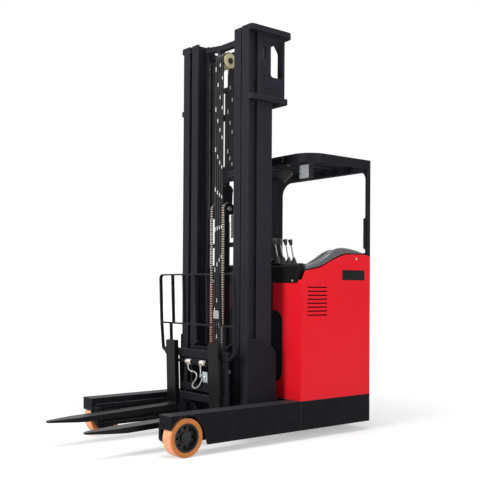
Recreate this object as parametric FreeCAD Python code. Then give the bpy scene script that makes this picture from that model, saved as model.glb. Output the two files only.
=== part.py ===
import os
import math
import FreeCAD
import Part
from FreeCAD import Vector

# Reach truck with a two-section mast. Millimetres, +X towards the fork tips,
# +Y the truck's left side, +Z up, the floor at z = 0.

# Overall lengths and widths
FRONT_TIP = 1238.0
REAR = -1238.0
BODY_FRONT = -434.0
LEG_FRONT = 767.0
HALF_W = 612.0
SKIRT_Z = 72.0
DECK_Z = 295.0
CORNER_R = 40.0
SHEET = 12.0
SEAT = 0.3

# Support legs and their load wheels
LW_W = 108.0
LEG_IN = HALF_W - LW_W - 13.0
LEG_BOX_Z = DECK_Z - 95.0
CHAN_LIP = LEG_IN - 37.0
CHAN_Z0 = SKIRT_Z + 6.0
CHAN_Z1 = DECK_Z - 46.0
CHAN_T = 25.0
LW_X = LEG_FRONT - 141.0
LW_R = 135.0
LW_HUB = LW_R - 34.0
LW_PIN = 22.0

# Drive wheel and the hole in the deck it turns in
DW_X = REAR + 278.0
DW_R = 171.0
DW_W = 114.0
DW_HUB = DW_R - 51.0
DW_CHORD = math.sqrt(DW_R ** 2 - (DECK_Z - SHEET - DW_R) ** 2)
DW_HOLE = math.hypot(DW_CHORD, DW_W / 2) + 5.0

# Red body
PANEL_T = 14.0
FACE_TOP = 1203.0
REAR_TOP = FACE_TOP + 215.0
CONSOLE_TOP = FACE_TOP + 155.0
BATT_BACK = BODY_FRONT - 378.0
FLANGE_IN = 46.0
CREST = ((203.0, 121.0, 60), (352.0, 188.0, 60), (486.0, 234.0, 80))
LOUVRES = 8
LOUVRE_PITCH = 31.0
ENTRY_Z = DECK_Z + 35.0
SEAT_Z = DECK_Z + 325.0
LEVER_Y = HALF_W * 0.49

# Overhead guard
GUARD_TOP = FACE_TOP + 1022.0
GUARD_FRONT = BODY_FRONT - 74.0
GUARD_BAND = 70.0
GUARD_R = 170.0
PORTAL_R = 120.0
POST_D = 63.0
POST_W = 113.0
POST_SKIN = 22.0
POST_LIP = 50.0
SLAT_W = 65.0
SLAT_PITCH = HALF_W * 0.259

# Mast
MAST_TOP = 3165.0
OUT_X = BODY_FRONT + 387.0
OUT_Y1 = CHAN_LIP - 29.0
OUT_Y0 = OUT_Y1 - 79.0
OUT_D = 113.0
OUT_BOT = SKIRT_Z + 58.0
IN_X = OUT_X - 10.0
IN_Y1 = OUT_Y0 - 24.0
IN_Y0 = IN_Y1 - 81.0
IN_D = 126.0
IN_BOT = OUT_BOT + 12.0
FLANGE = 18.0
WEB = 16.0
MAST_PLATE = 40.0
PLATE_TOP = 432.0
PLATE_LOW = 390.0
SIDE_BACK = OUT_X - 242.0
BRACKET_LOW = MAST_TOP - 527.0

# Reach carriage
REACH = 560.0
RC_FRONT = OUT_X + 12.0
RC_BACK = OUT_X - 284.0
RC_TOP = DECK_Z + 480.0
RC_BOT = SKIRT_Z + 40.0
RC_T = 13.0
ROLL_R = (CHAN_Z1 - CHAN_Z0) / 2 - CHAN_T - 2.5
ROLL_X = (RC_FRONT - 60.0, RC_BACK + 33.0)

# Lift
MAST_LIFT = 2300.0
FREE_LIFT = 1850.0
LC_X = OUT_X - 189.0
LC_Y = OUT_Y1 - 69.0
LC_R = 38.0
ROD_R = 26.0
CH_Z = MAST_TOP * 0.5656
CH_X = OUT_X - 86.0
CH_R = 48.0
CH_Y = 75.0
CHAIN_W = 34.0
CHAIN_T = 11.0
FL_X = OUT_X - 116.0
FL_R = 40.0
FL_ROD = 28.0
HP_Z = MAST_TOP - 181.0
HP_R = 59.0
HP_W = 116.0
HOSE_R = 9.0
HOSE_PITCH = 28.0
HOSES = 4
TIE_Z = MAST_TOP * 0.6424
TIE_H = 116.0
BAR_TOP_Z = MAST_TOP - 389.0

# Forks, carriage and backrest, drawn upright and then tipped
TILT = 2.0
CAR_X = OUT_X + 47.0
CAR_LOW = 260.0
CAR_TOP = 690.0
PIV_X = OUT_X + 97.0
PIV_Z = CAR_LOW + 50.0
FORK_FACE = OUT_X + 201.0
FORK_T = 40.0
FORK_W = 120.0
FORK_Y = IN_Y0 + 44.0
FORK_TOP = 236.0
SHANK_TOP = CAR_TOP + 55.0
BAR_T = 30.0
BAR_TOP = (CAR_TOP - 69.0, CAR_TOP - 10.0)
BAR_LOW = (CAR_LOW + 23.0, CAR_LOW + 74.0)
SHIFT = 80.0
SHIFT_Z = CAR_TOP - 110.0
SHIFT_R = 20.0
BR_X = FORK_FACE - 38.0
BR_TOP = CAR_TOP + 585.0
BR_Y = CHAN_LIP + 39.0
BR_MID = CAR_TOP + 187.0
BR_BAR = 12.0
BR_DEPTH = 24.0
BAR_END = CHAN_LIP - 36.0

os.makedirs("parts", exist_ok=True)


def save(name, shape):
    shape.exportStep("parts/" + name + ".step")


def mirror_y(shape):
    return shape.mirror(Vector(0, 0, 0), Vector(0, 1, 0))


def both(name, shape):
    # left and right hand of one piece
    save(name + "_left", shape)
    save(name + "_right", mirror_y(shape))


def outline(points):
    # flat outline in u, v from corners (u, v, radius)
    n = len(points)
    edges = []
    starts = []
    ends = []
    mids = []
    for i in range(n):
        u, v, r = points[i]
        p = Vector(u, v, 0)
        if r <= 0:
            starts.append(p)
            ends.append(p)
            mids.append(None)
            continue
        a = Vector(points[i - 1][0], points[i - 1][1], 0)
        b = Vector(points[(i + 1) % n][0], points[(i + 1) % n][1], 0)
        da = (a - p).normalize()
        db = (b - p).normalize()
        half = da.getAngle(db) / 2.0
        cut = r / math.tan(half)
        mid = (da + db).normalize()
        centre = p + mid * (r / math.sin(half))
        starts.append(p + da * cut)
        ends.append(p + db * cut)
        mids.append(centre - mid * r)
    for i in range(n):
        if mids[i] is not None:
            edges.append(Part.Arc(starts[i], mids[i], ends[i]).toShape())
        j = (i + 1) % n
        if (ends[i] - starts[j]).Length > 1e-6:
            edges.append(Part.makeLine(ends[i], starts[j]))
    return Part.Face(Part.Wire(edges))


def placed(face, axis):
    # carries a u, v face to the plane whose normal is the named axis
    s = face.copy()
    if axis == "y":
        s.rotate(Vector(0, 0, 0), Vector(1, 0, 0), 90)
    if axis == "x":
        s.rotate(Vector(0, 0, 0), Vector(1, 0, 0), 90)
        s.rotate(Vector(0, 0, 0), Vector(0, 0, 1), 90)
    return s


def plate(axis, points, a, b):
    # flat plate: outline points are (x, z) for y, (y, z) for x, (x, y) for z
    pts = [p if len(p) == 3 else (p[0], p[1], 0) for p in points]
    f = placed(outline(pts), axis)
    if axis == "y":
        f.translate(Vector(0, a, 0))
        return f.extrude(Vector(0, b - a, 0))
    if axis == "x":
        f.translate(Vector(a, 0, 0))
        return f.extrude(Vector(b - a, 0, 0))
    f.translate(Vector(0, 0, a))
    return f.extrude(Vector(0, 0, b - a))


def box(x0, x1, y0, y1, z0, z1):
    return Part.makeBox(x1 - x0, y1 - y0, z1 - z0, Vector(x0, y0, z0))


def frame_pts(u0, u1, v0, v1, r=0.0):
    return [(u0, v0, r), (u1, v0, r), (u1, v1, r), (u0, v1, r)]


def rod_y(x, z, r, y0, y1):
    return Part.makeCylinder(r, y1 - y0, Vector(x, y0, z), Vector(0, 1, 0))


def rod_z(x, y, r, z0, z1):
    return Part.makeCylinder(r, z1 - z0, Vector(x, y, z0))


def fuse(shapes):
    s = shapes[0].fuse(shapes[1:]) if len(shapes) > 1 else shapes[0]
    return s.removeSplitter()


def lathe_y(x, z, section):
    # turned body about a line along Y from (radius, y) corners
    pts = [Vector(x, y, z + r) for r, y in section]
    w = Part.makePolygon(pts + [pts[0]])
    return Part.Face(w).revolve(Vector(x, 0, z), Vector(0, 1, 0), 360)


def lathe_z(x, y, z, section):
    # turned body about an upright line from (radius, height) corners
    pts = [Vector(x + r, y, z + h) for r, h in section]
    w = Part.makePolygon(pts + [pts[0]])
    return Part.Face(w).revolve(Vector(x, y, z), Vector(0, 0, 1), 360)


def around_y(shape, x, z, count):
    out = []
    for i in range(count):
        s = shape.copy()
        s.rotate(Vector(x, 0, z), Vector(0, 1, 0), 360.0 * i / count)
        out.append(s)
    return out


def body_plan(inset, z0, z1):
    # the body's outline seen from above, rounded at the rear corners
    y = HALF_W - inset
    r = CORNER_R - inset
    pts = [(REAR + inset, -y, r), (BODY_FRONT - inset, -y, 0), (BODY_FRONT - inset, y, 0), (REAR + inset, y, r)]
    return plate("z", pts, z0, z1)


# Chassis
def base_frame():
    s = body_plan(0, SKIRT_Z, DECK_Z)
    s = s.cut(body_plan(SHEET, SKIRT_Z - 1, DECK_Z - SHEET))
    s = s.cut(rod_z(DW_X, 0, DW_HOLE, DECK_Z - 50, DECK_Z + 10))
    # window for the reach carriage's rear
    s = s.cut(box(BODY_FRONT - 30, BODY_FRONT + 5, -300, 300, SKIRT_Z - 5, SKIRT_Z + 80))
    x = BODY_FRONT - 220
    wall = box(x, x + 10, -HALF_W + SHEET, HALF_W - SHEET, SKIRT_Z, DECK_Z - SHEET)
    return fuse([s, wall])


def leg():
    arch_top = DECK_Z - SHEET - 2
    side = box(BODY_FRONT, LEG_FRONT, HALF_W - SHEET, HALF_W, SKIRT_Z, DECK_Z)
    # the wheel's cut-out follows the tyre in straight bends
    hood = plate("y", [(LW_X - LW_R - 42, SKIRT_Z - 5, 0), (LEG_FRONT + 5, SKIRT_Z - 5, 0),
                       (LEG_FRONT + 5, LEG_BOX_Z - 5, 0), (LEG_FRONT - 76, arch_top, 10),
                       (LW_X - LW_R + 69, arch_top, 18), (LW_X - LW_R - 5, LW_R + 55, 18)],
                 HALF_W - SHEET - 1, HALF_W + 1)
    side = side.cut(hood)
    top = box(BODY_FRONT, LEG_FRONT, LEG_IN - SHEET, HALF_W, DECK_Z - SHEET, DECK_Z)
    web = box(BODY_FRONT, LEG_FRONT, LEG_IN - SHEET, LEG_IN, CHAN_Z0, DECK_Z)
    lip_low = box(BODY_FRONT, LEG_FRONT - 40, CHAN_LIP, LEG_IN, CHAN_Z0, CHAN_Z0 + CHAN_T)
    lip_top = box(BODY_FRONT, LEG_FRONT - 40, CHAN_LIP, LEG_IN, CHAN_Z1 - CHAN_T, CHAN_Z1)
    nose = plate("y", [(LEG_FRONT, LEG_BOX_Z), (LEG_FRONT, DECK_Z), (LEG_FRONT - 88, DECK_Z)],
                 LEG_IN - SHEET, HALF_W)
    box_low = box(BODY_FRONT, LW_X - LW_R - 45, LEG_IN, HALF_W - SHEET, LEG_BOX_Z, LEG_BOX_Z + SHEET)
    stop = box(LEG_FRONT - 62, LEG_FRONT - 22, CHAN_LIP - 18, LEG_IN, CHAN_Z0 + CHAN_T, CHAN_Z1 - CHAN_T)
    boss = rod_y(LW_X, LW_R, 46, LEG_IN, HALF_W - LW_W - 4)
    pin = rod_y(LW_X, LW_R, LW_PIN, LEG_IN, HALF_W - 30)
    s = fuse([side, top, web, lip_low, lip_top, nose, box_low, stop, boss, pin])
    cut = plate("y", [(LEG_FRONT + 1, SKIRT_Z - 5), (LEG_FRONT + 1, CHAN_Z0 + CHAN_T + 45),
                      (LEG_FRONT - 62, SKIRT_Z - 5)], CHAN_LIP - 20, HALF_W + 1)
    return s.cut(cut)


def load_wheel():
    y1 = HALF_W
    y0 = HALF_W - LW_W
    h = LW_HUB
    tyre = lathe_y(LW_X, LW_R, [(h, y0 + 4), (LW_R - 8, y0), (LW_R, y0 + 8), (LW_R, y1 - 8),
                                (LW_R - 8, y1), (h, y1 - 4)])
    bore = LW_PIN + SEAT
    hub = lathe_y(LW_X, LW_R, [(bore, y0 + 2), (56, y0 + 2), (56, y0 + 30), (h - 16, y0 + 38),
                               (h - 14, y0 + 6), (h, y0 + 6), (h, y1 - 6),
                               (h - 14, y1 - 6), (h - 18, y1 - 34), (40, y1 - 30),
                               (34, y1 - 12), (bore, y1 - 12)])
    slot = rod_y(LW_X + h - 35, LW_R, 11, y0, y1)
    for s in around_y(slot, LW_X, LW_R, 8):
        hub = hub.cut(s)
    return tyre, hub


def drive_wheel():
    y = DW_W / 2
    h = DW_HUB
    tyre = lathe_y(DW_X, DW_R, [(h, -y + 4), (DW_R - 8, -y), (DW_R, -y + 8), (DW_R, y - 8),
                                (DW_R - 8, y), (h, y - 4)])
    hub = lathe_y(DW_X, DW_R, [(0, -y + 20), (60, -y + 20), (h - 16, -y + 36), (h - 14, -y + 6),
                               (h, -y + 6), (h, y - 6), (h - 14, y - 6),
                               (h - 20, y - 30), (50, y - 22), (0, y - 22)])
    return tyre, hub


def drive_unit():
    y0 = DW_W / 2 + 8
    arm = plate("y", [(DW_X - 58, DW_R * 2 + 14), (DW_X - 58, DW_R, 50), (DW_X - 46, DW_R - 58, 40),
                      (DW_X + 46, DW_R - 58, 40), (DW_X + 58, DW_R, 50), (DW_X + 58, DW_R * 2 + 14)],
                y0, y0 + 40)
    hub = rod_y(DW_X, DW_R, 42, DW_W / 2 - 22 + SEAT, y0)
    head = rod_z(DW_X, 0, 126, DW_R * 2 + 12, DW_R * 2 + 50)
    motor = rod_z(DW_X, 0, 92, DW_R * 2 + 50, DW_R * 2 + 190)
    return fuse([arm, hub, head, motor])


def battery():
    return box(BATT_BACK + 20, BODY_FRONT - PANEL_T - 2, -HALF_W + 45, HALF_W - 45, DECK_Z, FACE_TOP - 93)


# Body panels
def crest(lift):
    # top edge of the left side from the front corner to the rear, raised by lift
    return [(BODY_FRONT - dx, FACE_TOP + dz + lift, r) for dx, dz, r in CREST]


def panel_shell(points, side):
    # side panel with its front and rear returns, cut from the rounded body plan
    y0, y1 = sorted((side * (HALF_W - POST_W), side * HALF_W))
    s = plate("y", points, y0, y1).common(body_plan(0, DECK_Z, REAR_TOP + 60))
    s = s.cut(body_plan(PANEL_T, DECK_Z - 1, REAR_TOP + 61))
    a, b = sorted((side * (HALF_W - POST_W - 1), side * (HALF_W - FLANGE_IN)))
    return s.cut(box(REAR + 150, BODY_FRONT + 1, a, b, DECK_Z - 1, REAR_TOP + 61))


def side_panel_left():
    pts = [(BODY_FRONT, DECK_Z, 0), (BODY_FRONT, FACE_TOP, 60), (BODY_FRONT - 50, FACE_TOP + 97, 30)]
    pts += crest(0) + [(REAR + 86, FACE_TOP + 239, 10), (REAR, REAR_TOP, 0), (REAR, DECK_Z, 0)]
    s = panel_shell(pts, 1)
    for i in range(LOUVRES):
        z = FACE_TOP - 32 - LOUVRE_PITCH * i
        slot = plate("y", frame_pts(BODY_FRONT - 281, BODY_FRONT - 66, z - 4.5, z + 4.5, 4),
                     HALF_W - 20, HALF_W + 1)
        s = s.cut(slot)
    return s


def side_panel_right():
    top = FACE_TOP + 87
    pts = [(BODY_FRONT, DECK_Z, 0), (BODY_FRONT, FACE_TOP, 60), (BODY_FRONT - 50, FACE_TOP + 97, 30),
           (BATT_BACK, FACE_TOP + 127, 60), (BATT_BACK, ENTRY_Z, 60), (REAR + 80, ENTRY_Z, 60),
           (REAR + 80, top, 8), (REAR, top, 0), (REAR, DECK_Z, 0)]
    return panel_shell(pts, -1)


def front_panel():
    x = BODY_FRONT - PANEL_T
    y = HALF_W - FLANGE_IN
    w = HALF_W - 218
    s = box(x, BODY_FRONT, -y, y, DECK_Z, FACE_TOP)
    window = plate("x", frame_pts(-w, w, DECK_Z + 128, FACE_TOP - 216, 85), x - 1, BODY_FRONT + 1)
    return s.cut(window)


def rear_panel():
    y = HALF_W - POST_W - SEAT
    return box(REAR, REAR + 30, -y, y, DECK_Z, FACE_TOP + 97)


def console():
    x = BODY_FRONT - PANEL_T
    pts = [(BODY_FRONT, FACE_TOP, 0), (BODY_FRONT, CONSOLE_TOP - 28, 30), (BODY_FRONT - 30, CONSOLE_TOP, 20),
           (BODY_FRONT - 236, CONSOLE_TOP, 30), (BODY_FRONT - 262, FACE_TOP + 97, 20),
           (BATT_BACK, FACE_TOP + 87, 20), (BATT_BACK, FACE_TOP - 91, 0), (x, FACE_TOP - 91, 0), (x, FACE_TOP, 0)]
    s = plate("y", pts, -HALF_W + FLANGE_IN, HALF_W - FLANGE_IN)
    seat_cut = box(BATT_BACK + 12, BODY_FRONT - 61 + SEAT, HALF_W - 150 - SEAT, HALF_W - FLANGE_IN + 1,
                   FACE_TOP + 59 - SEAT, CONSOLE_TOP + 40)
    display = plate("y", [(BODY_FRONT - 46, CONSOLE_TOP), (BODY_FRONT - 46, CONSOLE_TOP + 44, 6),
                          (BODY_FRONT - 12, CONSOLE_TOP + 30, 6), (BODY_FRONT - 12, CONSOLE_TOP - 20)],
                    LEVER_Y - 110, LEVER_Y - 50)
    return fuse([s.cut(seat_cut), display])


def control_levers():
    z = CONSOLE_TOP + 6
    y = LEVER_Y
    out = [box(BODY_FRONT - 254, BODY_FRONT - 12, y - 38, y + 38, CONSOLE_TOP, z)]
    boot = [(0, -1), (26, -1), (26, 7), (21, 12), (22, 18), (17, 24), (18, 30), (12, 38), (9, 50), (0, 50)]
    handle = [(0, 20), (5.5, 20), (5.5, 150), (10, 150), (12, 158), (19, 190), (17, 198), (0, 201)]
    for i in range(4):
        x = BODY_FRONT - 38 - 57 * i
        stem = lathe_z(x, y, z, handle)
        stem.rotate(Vector(x, y, z + 20), Vector(0, 1, 0), 14)
        out += [lathe_z(x, y, z, boot), stem]
    return fuse(out)


def armrest_cover():
    g = SEAT
    x = BODY_FRONT
    top = [(x - 708, FACE_TOP + 255, 0), (x - 606, FACE_TOP + 289, 90), (x - 446, FACE_TOP + 296, 120),
           (x - 266, FACE_TOP + 207, 120), (x - 66, FACE_TOP + 135, 0)]
    end = x - 714
    low = [(x - 61, FACE_TOP + 98.7 + g, 0)] + crest(g) + [(end, FACE_TOP + 239 + g, 0)]
    deep = [(x - 61, FACE_TOP + 59, 0)] + crest(-40) + [(end, FACE_TOP + 199, 0)]
    y = HALF_W - FLANGE_IN - g
    return fuse([plate("y", top + low, y, HALF_W - 4), plate("y", top + deep, HALF_W - 150, y)])


def operator_floor():
    y = HALF_W - POST_W - SEAT
    s = box(REAR + 30, BATT_BACK + 18, -HALF_W + PANEL_T, y, DECK_Z, DECK_Z + 14)
    s = s.cut(box(REAR, REAR + POST_D + 1, -HALF_W, -y, DECK_Z - 1, DECK_Z + 20))
    s = s.common(body_plan(PANEL_T + SEAT, DECK_Z - 1, DECK_Z + 20))
    s = s.cut(rod_z(DW_X, 0, DW_HOLE, DECK_Z - 5, DECK_Z + 40))
    z0 = DECK_Z + 14
    z1 = DW_R * 2 + 50 + SEAT
    a = DW_X - 220
    b = DW_X + 142
    mount = [box(a, a + 12, -136, 136, z0, z1), box(b - 10, b, -136, 136, z0, z1),
             box(a, b, -136, 136, z1, z1 + 12).cut(rod_z(DW_X, 0, 95, z1 - 1, z1 + 20))]
    return fuse([s] + mount)


def seat_box():
    t = 10.0
    x0 = REAR + 40
    x1 = BATT_BACK + 6
    y1 = HALF_W - POST_W - 1
    s = box(x0, x1, -150, y1, DECK_Z + 14, SEAT_Z)
    return s.cut(box(x0 + t, x1 - t, -150 + t, y1 - t, DECK_Z, SEAT_Z - t))


def seat():
    x0 = REAR + 48
    x1 = BATT_BACK - 8
    y1 = HALF_W - POST_W - 9
    cushion = plate("y", frame_pts(x0, x1, SEAT_Z, SEAT_Z + 120, 35), 70, y1 - 50)
    back = plate("y", frame_pts(x0, x1, SEAT_Z, FACE_TOP + 87, 60), y1 - 90, y1)
    return fuse([cushion, back])


def steering_wheel():
    x = BATT_BACK + 34
    y = -130.0
    z = FACE_TOP + 147
    post = rod_z(x, y, 14, FACE_TOP + 91 + SEAT, z - 5)
    rim = Part.makeTorus(62, 9, Vector(x, y, z), Vector(0, 0, 1))
    spokes = [box(x - 62, x + 62, y - 9, y + 9, z - 6, z + 2), box(x - 9, x + 9, y, y + 62, z - 6, z + 2)]
    return fuse([post, rim] + spokes)


# Overhead guard
def work_lamp():
    x0 = GUARD_FRONT - 117
    y0 = HALF_W - 192
    z0 = GUARD_TOP - 196
    face = frame_pts(y0, y0 + 120, z0, z0 + 120, 12)
    case = plate("x", face, x0, x0 + 45).cut(plate("x", frame_pts(y0 + 7, y0 + 113, z0 + 7, z0 + 113, 6),
                                                  x0 + 41, x0 + 46))
    strap = box(x0 + 15, x0 + 85, y0 + 20, y0 + 80, z0 + 120, GUARD_TOP - GUARD_BAND)
    return fuse([case, strap])


def mirror_plate():
    x = GUARD_FRONT - 125
    y = SLAT_PITCH * 1.5 - 40
    z = GUARD_TOP - 124
    face = plate("x", frame_pts(y - 54, y + 54, z - 44, z + 44, 8), x - 5, x + 5)
    face.rotate(Vector(x, y, z), Vector(1, 0, 0), 45)
    face.rotate(Vector(x, y, z), Vector(0, 0, 1), 40)
    ball = Part.makeSphere(14, Vector(x - 6, y - 4, z + 16))
    stem = rod_z(x - 12, y - 6, 8, z + 16, GUARD_TOP - 46)
    arm = box(x - 24, x, y - 18, y + 40, GUARD_TOP - 52, GUARD_TOP - 40)
    return fuse([face, ball, stem, arm])


def grab_handle():
    x = REAR + POST_D
    z0 = GUARD_TOP - 744
    z1 = GUARD_TOP - 472
    y = HALF_W - POST_SKIN / 2
    s = plate("y", [(x, z0), (x + 26, z0 + 14, 12), (x + 26, z1 - 14, 12), (x, z1)], y - 9, y + 9)
    return s.cut(plate("y", [(x - 1, z0 + 26), (x + 15, z0 + 32, 6), (x + 15, z1 - 32, 6), (x - 1, z1 - 26)],
                       y - 10, y + 10))


def guard_roof():
    t = 26.0
    x = GUARD_FRONT
    z0 = GUARD_TOP - GUARD_BAND
    out = [(REAR, -HALF_W, CORNER_R), (x, -HALF_W, GUARD_R), (x, HALF_W, GUARD_R), (REAR, HALF_W, CORNER_R)]
    y = HALF_W - t
    inn = [(REAR + POST_D, -y, 20), (x - 60, -y, GUARD_R - 60), (x - 60, y, GUARD_R - 60), (REAR + POST_D, y, 20)]
    rim = plate("z", out, z0, GUARD_TOP).cut(plate("z", inn, z0 - 1, GUARD_TOP + 1))
    slats = []
    for i in range(6):
        c = SLAT_PITCH * (i - 2.5)
        slats.append(box(REAR + 20, x - 30, c - SLAT_W / 2, c + SLAT_W / 2, GUARD_TOP - 40, GUARD_TOP - 10))
    return fuse([rim] + slats)


def guard_portal():
    # rear posts and the beam over them, one curved plate standing on the side panels
    x = REAR + POST_D
    top = GUARD_TOP - GUARD_BAND
    right_z = FACE_TOP + 87 + SEAT
    y = HALF_W - POST_W
    s = box(REAR, x, -HALF_W, HALF_W, right_z, top)
    # the left post is the plate's own bend: a skin along the side and a short lip behind
    skin = HALF_W - POST_SKIN
    lip = HALF_W - POST_LIP
    knee = REAR_TOP + 40
    for y1, r, x0, x1 in ((lip, 50, REAR - 1, REAR + SHEET), (skin, 70, REAR + SHEET, x + 1)):
        s = s.cut(plate("x", [(-y, right_z - 1, 0), (y, right_z - 1, 0), (y, knee, 0), (y1, knee, 0),
                              (y1, top - 20, r), (-y, top - 20, PORTAL_R)], x0, x1))
    s = s.common(body_plan(0, right_z - 5, top + 5))
    # the left foot follows the slope of the side panel's rear top
    drop = 24.0 * POST_D / 86.0
    slope = plate("y", [(REAR - 1, right_z - 5), (x + 1, right_z - 5), (x + 1, REAR_TOP + drop + SEAT),
                        (REAR - 1, REAR_TOP + SEAT)], y - 1, HALF_W + 1)
    s = s.cut(slope)
    feet = []
    for sgn, up in ((1, REAR_TOP + 40), (-1, right_z + 20)):
        a, b = sorted((sgn * y, sgn * (HALF_W - FLANGE_IN)))
        foot = box(REAR + PANEL_T + SEAT, x, a, b, DECK_Z, up)
        feet.append(foot.common(body_plan(PANEL_T + SEAT, DECK_Z - 1, up + 1)))
    return fuse([s] + feet)


def guard_front_post():
    return box(GUARD_FRONT - 105, GUARD_FRONT - 55, -HALF_W + 48, -HALF_W + 98, CONSOLE_TOP,
               GUARD_TOP - GUARD_BAND)


# Reach carriage and outer mast
def reach_side():
    pts = [(RC_FRONT, RC_TOP, 8), (RC_BACK + 118, RC_TOP, 14), (RC_BACK + 108, RC_TOP - 42, 10),
           (RC_BACK + 60, RC_TOP - 42, 30), (RC_BACK, RC_TOP - 112, 40),
           (RC_BACK, 330, 60), (RC_BACK - 27, 280, 30), (RC_BACK - 27, RC_BOT, 40), (RC_FRONT, RC_BOT, 40)]
    y = OUT_Y1 + RC_T
    side = plate("y", pts, OUT_Y1, y)
    side = side.cut(plate("z", [(RC_FRONT + 1, y + 1), (RC_FRONT - 14, y + 1), (RC_FRONT + 1, y - 10)],
                          RC_BOT - 1, RC_TOP + 1))
    parts = [side]
    z = CHAN_Z0 + CHAN_T + SEAT + ROLL_R
    for x in ROLL_X:
        parts.append(rod_y(x, z, 20, OUT_Y1, LEG_IN - SHEET - 8))
        parts.append(rod_y(x, z, ROLL_R, y + 3, LEG_IN - SHEET - 8))
    return fuse(parts)


def reach_frame():
    back = box(RC_BACK, RC_BACK + 30, -OUT_Y1, OUT_Y1, RC_BOT, RC_BOT + 308)
    back = back.cut(plate("x", frame_pts(-260, 260, RC_BOT + 78, RC_BOT + 258, 40), RC_BACK - 1, RC_BACK + 31))
    floor = box(RC_BACK + 30, LC_X + 60, -OUT_Y1, OUT_Y1, RC_BOT, RC_BOT + 18)
    return fuse([back, floor])


def beam(x_front, depth, y0, y1, z0, z1):
    # rolled I section standing upright
    web_y = (y0 + y1) / 2.0
    a = box(x_front - FLANGE, x_front, y0, y1, z0, z1)
    b = box(x_front - depth, x_front - depth + FLANGE, y0, y1, z0, z1)
    w = box(x_front - depth + FLANGE, x_front - FLANGE, web_y - WEB / 2, web_y + WEB / 2, z0, z1)
    return fuse([a, w, b])


def outer_upright():
    s = beam(OUT_X, OUT_D, OUT_Y0, OUT_Y1, OUT_BOT, MAST_TOP - MAST_PLATE)
    side = box(SIDE_BACK, OUT_X - OUT_D, OUT_Y1 - 16, OUT_Y1, OUT_BOT, BRACKET_LOW - MAST_PLATE + 1)
    x = IN_X - IN_D / 2
    r = IN_D / 2 - FLANGE - 0.5
    z = MAST_TOP - 105
    roll = rod_y(x, z, r, IN_Y1 - 28, IN_Y1 + 2)
    axle = rod_y(x, z, 16, IN_Y1, OUT_Y0 + 36)
    return fuse([s, side, roll, axle])


def mast_bracket():
    x = OUT_X
    x0 = x - OUT_D
    out = OUT_Y1 + 39
    top_z = MAST_TOP - MAST_PLATE
    low_z = BRACKET_LOW - MAST_PLATE + 1
    top = plate("z", [(x - PLATE_TOP, OUT_Y1 - 31, 0), (x - PLATE_TOP, out, 60), (x, out, 25), (x, OUT_Y0, 0),
                      (x0, OUT_Y0, 0), (x0, OUT_Y1 - 31, 0)], top_z, MAST_TOP)
    low = plate("z", [(x - PLATE_LOW, OUT_Y1 - 16, 10), (x - PLATE_LOW, out, 42), (x, out, 25), (x, OUT_Y1, 0),
                      (x0, OUT_Y1, 0), (x0, OUT_Y1 - 16, 0)], low_z, BRACKET_LOW)
    back = x - 370
    side = plate("y", [(x0, BRACKET_LOW), (x0, top_z), (back, top_z), (back, BRACKET_LOW)], OUT_Y1 - 16, OUT_Y1)
    a = OUT_Y1 - 17
    b = OUT_Y1 + 1
    side = side.cut(plate("y", [(back - 1, MAST_TOP - 367, 0), (x - 227, MAST_TOP - 367, 24),
                                (x - 227, MAST_TOP - 71, 40), (back - 1, MAST_TOP - 71, 0)], a, b))
    side = side.cut(plate("y", frame_pts(x - 182, x - 144, MAST_TOP - 232, MAST_TOP - 137, 6), a, b))
    # rear leg of the bracket, arched towards the cross tie above
    y = OUT_Y1 - 69
    leg = plate("x", [(OUT_Y1, BRACKET_LOW, 0), (OUT_Y1, top_z, 0), (y - 70, top_z, 0), (y, top_z - 110, 80),
                      (y, BRACKET_LOW, 0)], back, back + 14)
    for dx, dz, r in ((160, 317, 9), (160, 368, 9), (188, 465, 7), (227, 465, 7), (269, 465, 7)):
        side = side.cut(rod_y(x - dx, MAST_TOP - dz, r, a, b))
    return fuse([top, low, side, leg])


def mast_cross_ties():
    y = OUT_Y1 - 31
    top = box(OUT_X - PLATE_TOP, OUT_X - PLATE_TOP + 66, -y, y, MAST_TOP - MAST_PLATE, MAST_TOP)
    y = OUT_Y1 - 16
    low = box(OUT_X - PLATE_LOW, OUT_X - PLATE_LOW + 60, -y, y, BRACKET_LOW - MAST_PLATE + 1, BRACKET_LOW)
    return top, low


def lift_cylinder():
    z1 = BRACKET_LOW - 78
    z0 = OUT_BOT + 20
    tube = rod_z(LC_X, LC_Y, LC_R, z0, z1).cut(rod_z(LC_X, LC_Y, ROD_R + 3, z0 + 25, z1 + 1))
    y = OUT_Y1 - 16
    foot = box(LC_X - 45, LC_X + 45, LC_Y - 45, y, OUT_BOT, z0)
    clip = box(LC_X - 48, LC_X + 48, LC_Y, y, z1 - 120, z1 - 80).cut(rod_z(LC_X, LC_Y, LC_R - 2, z1 - 160, z1))
    return fuse([tube, foot, clip])


def lift_rod():
    return rod_z(LC_X, LC_Y, ROD_R, OUT_BOT + 60, MAST_TOP - 58)


# Inner mast
def inner_upright():
    s = beam(IN_X, IN_D, IN_Y0, IN_Y1, IN_BOT, MAST_TOP)
    lug = plate("z", [(IN_X - IN_D, IN_Y0, 0), (IN_X - IN_D, IN_Y1, 0), (LC_X + 20, LC_Y + 30, 12),
                      (LC_X - 34, LC_Y + 30, 12), (LC_X - 34, LC_Y - 34, 12), (LC_X, IN_Y0, 12)],
                MAST_TOP - 58, MAST_TOP - 14)
    x = OUT_X - OUT_D / 2
    r = OUT_D / 2 - FLANGE - 0.5
    z = OUT_BOT + 80
    roll = rod_y(x, z, r, OUT_Y0 - 2, OUT_Y0 + 28)
    axle = rod_y(x, z, 16, IN_Y0 + 34, OUT_Y0)
    return fuse([s, lug, roll, axle])


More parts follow.
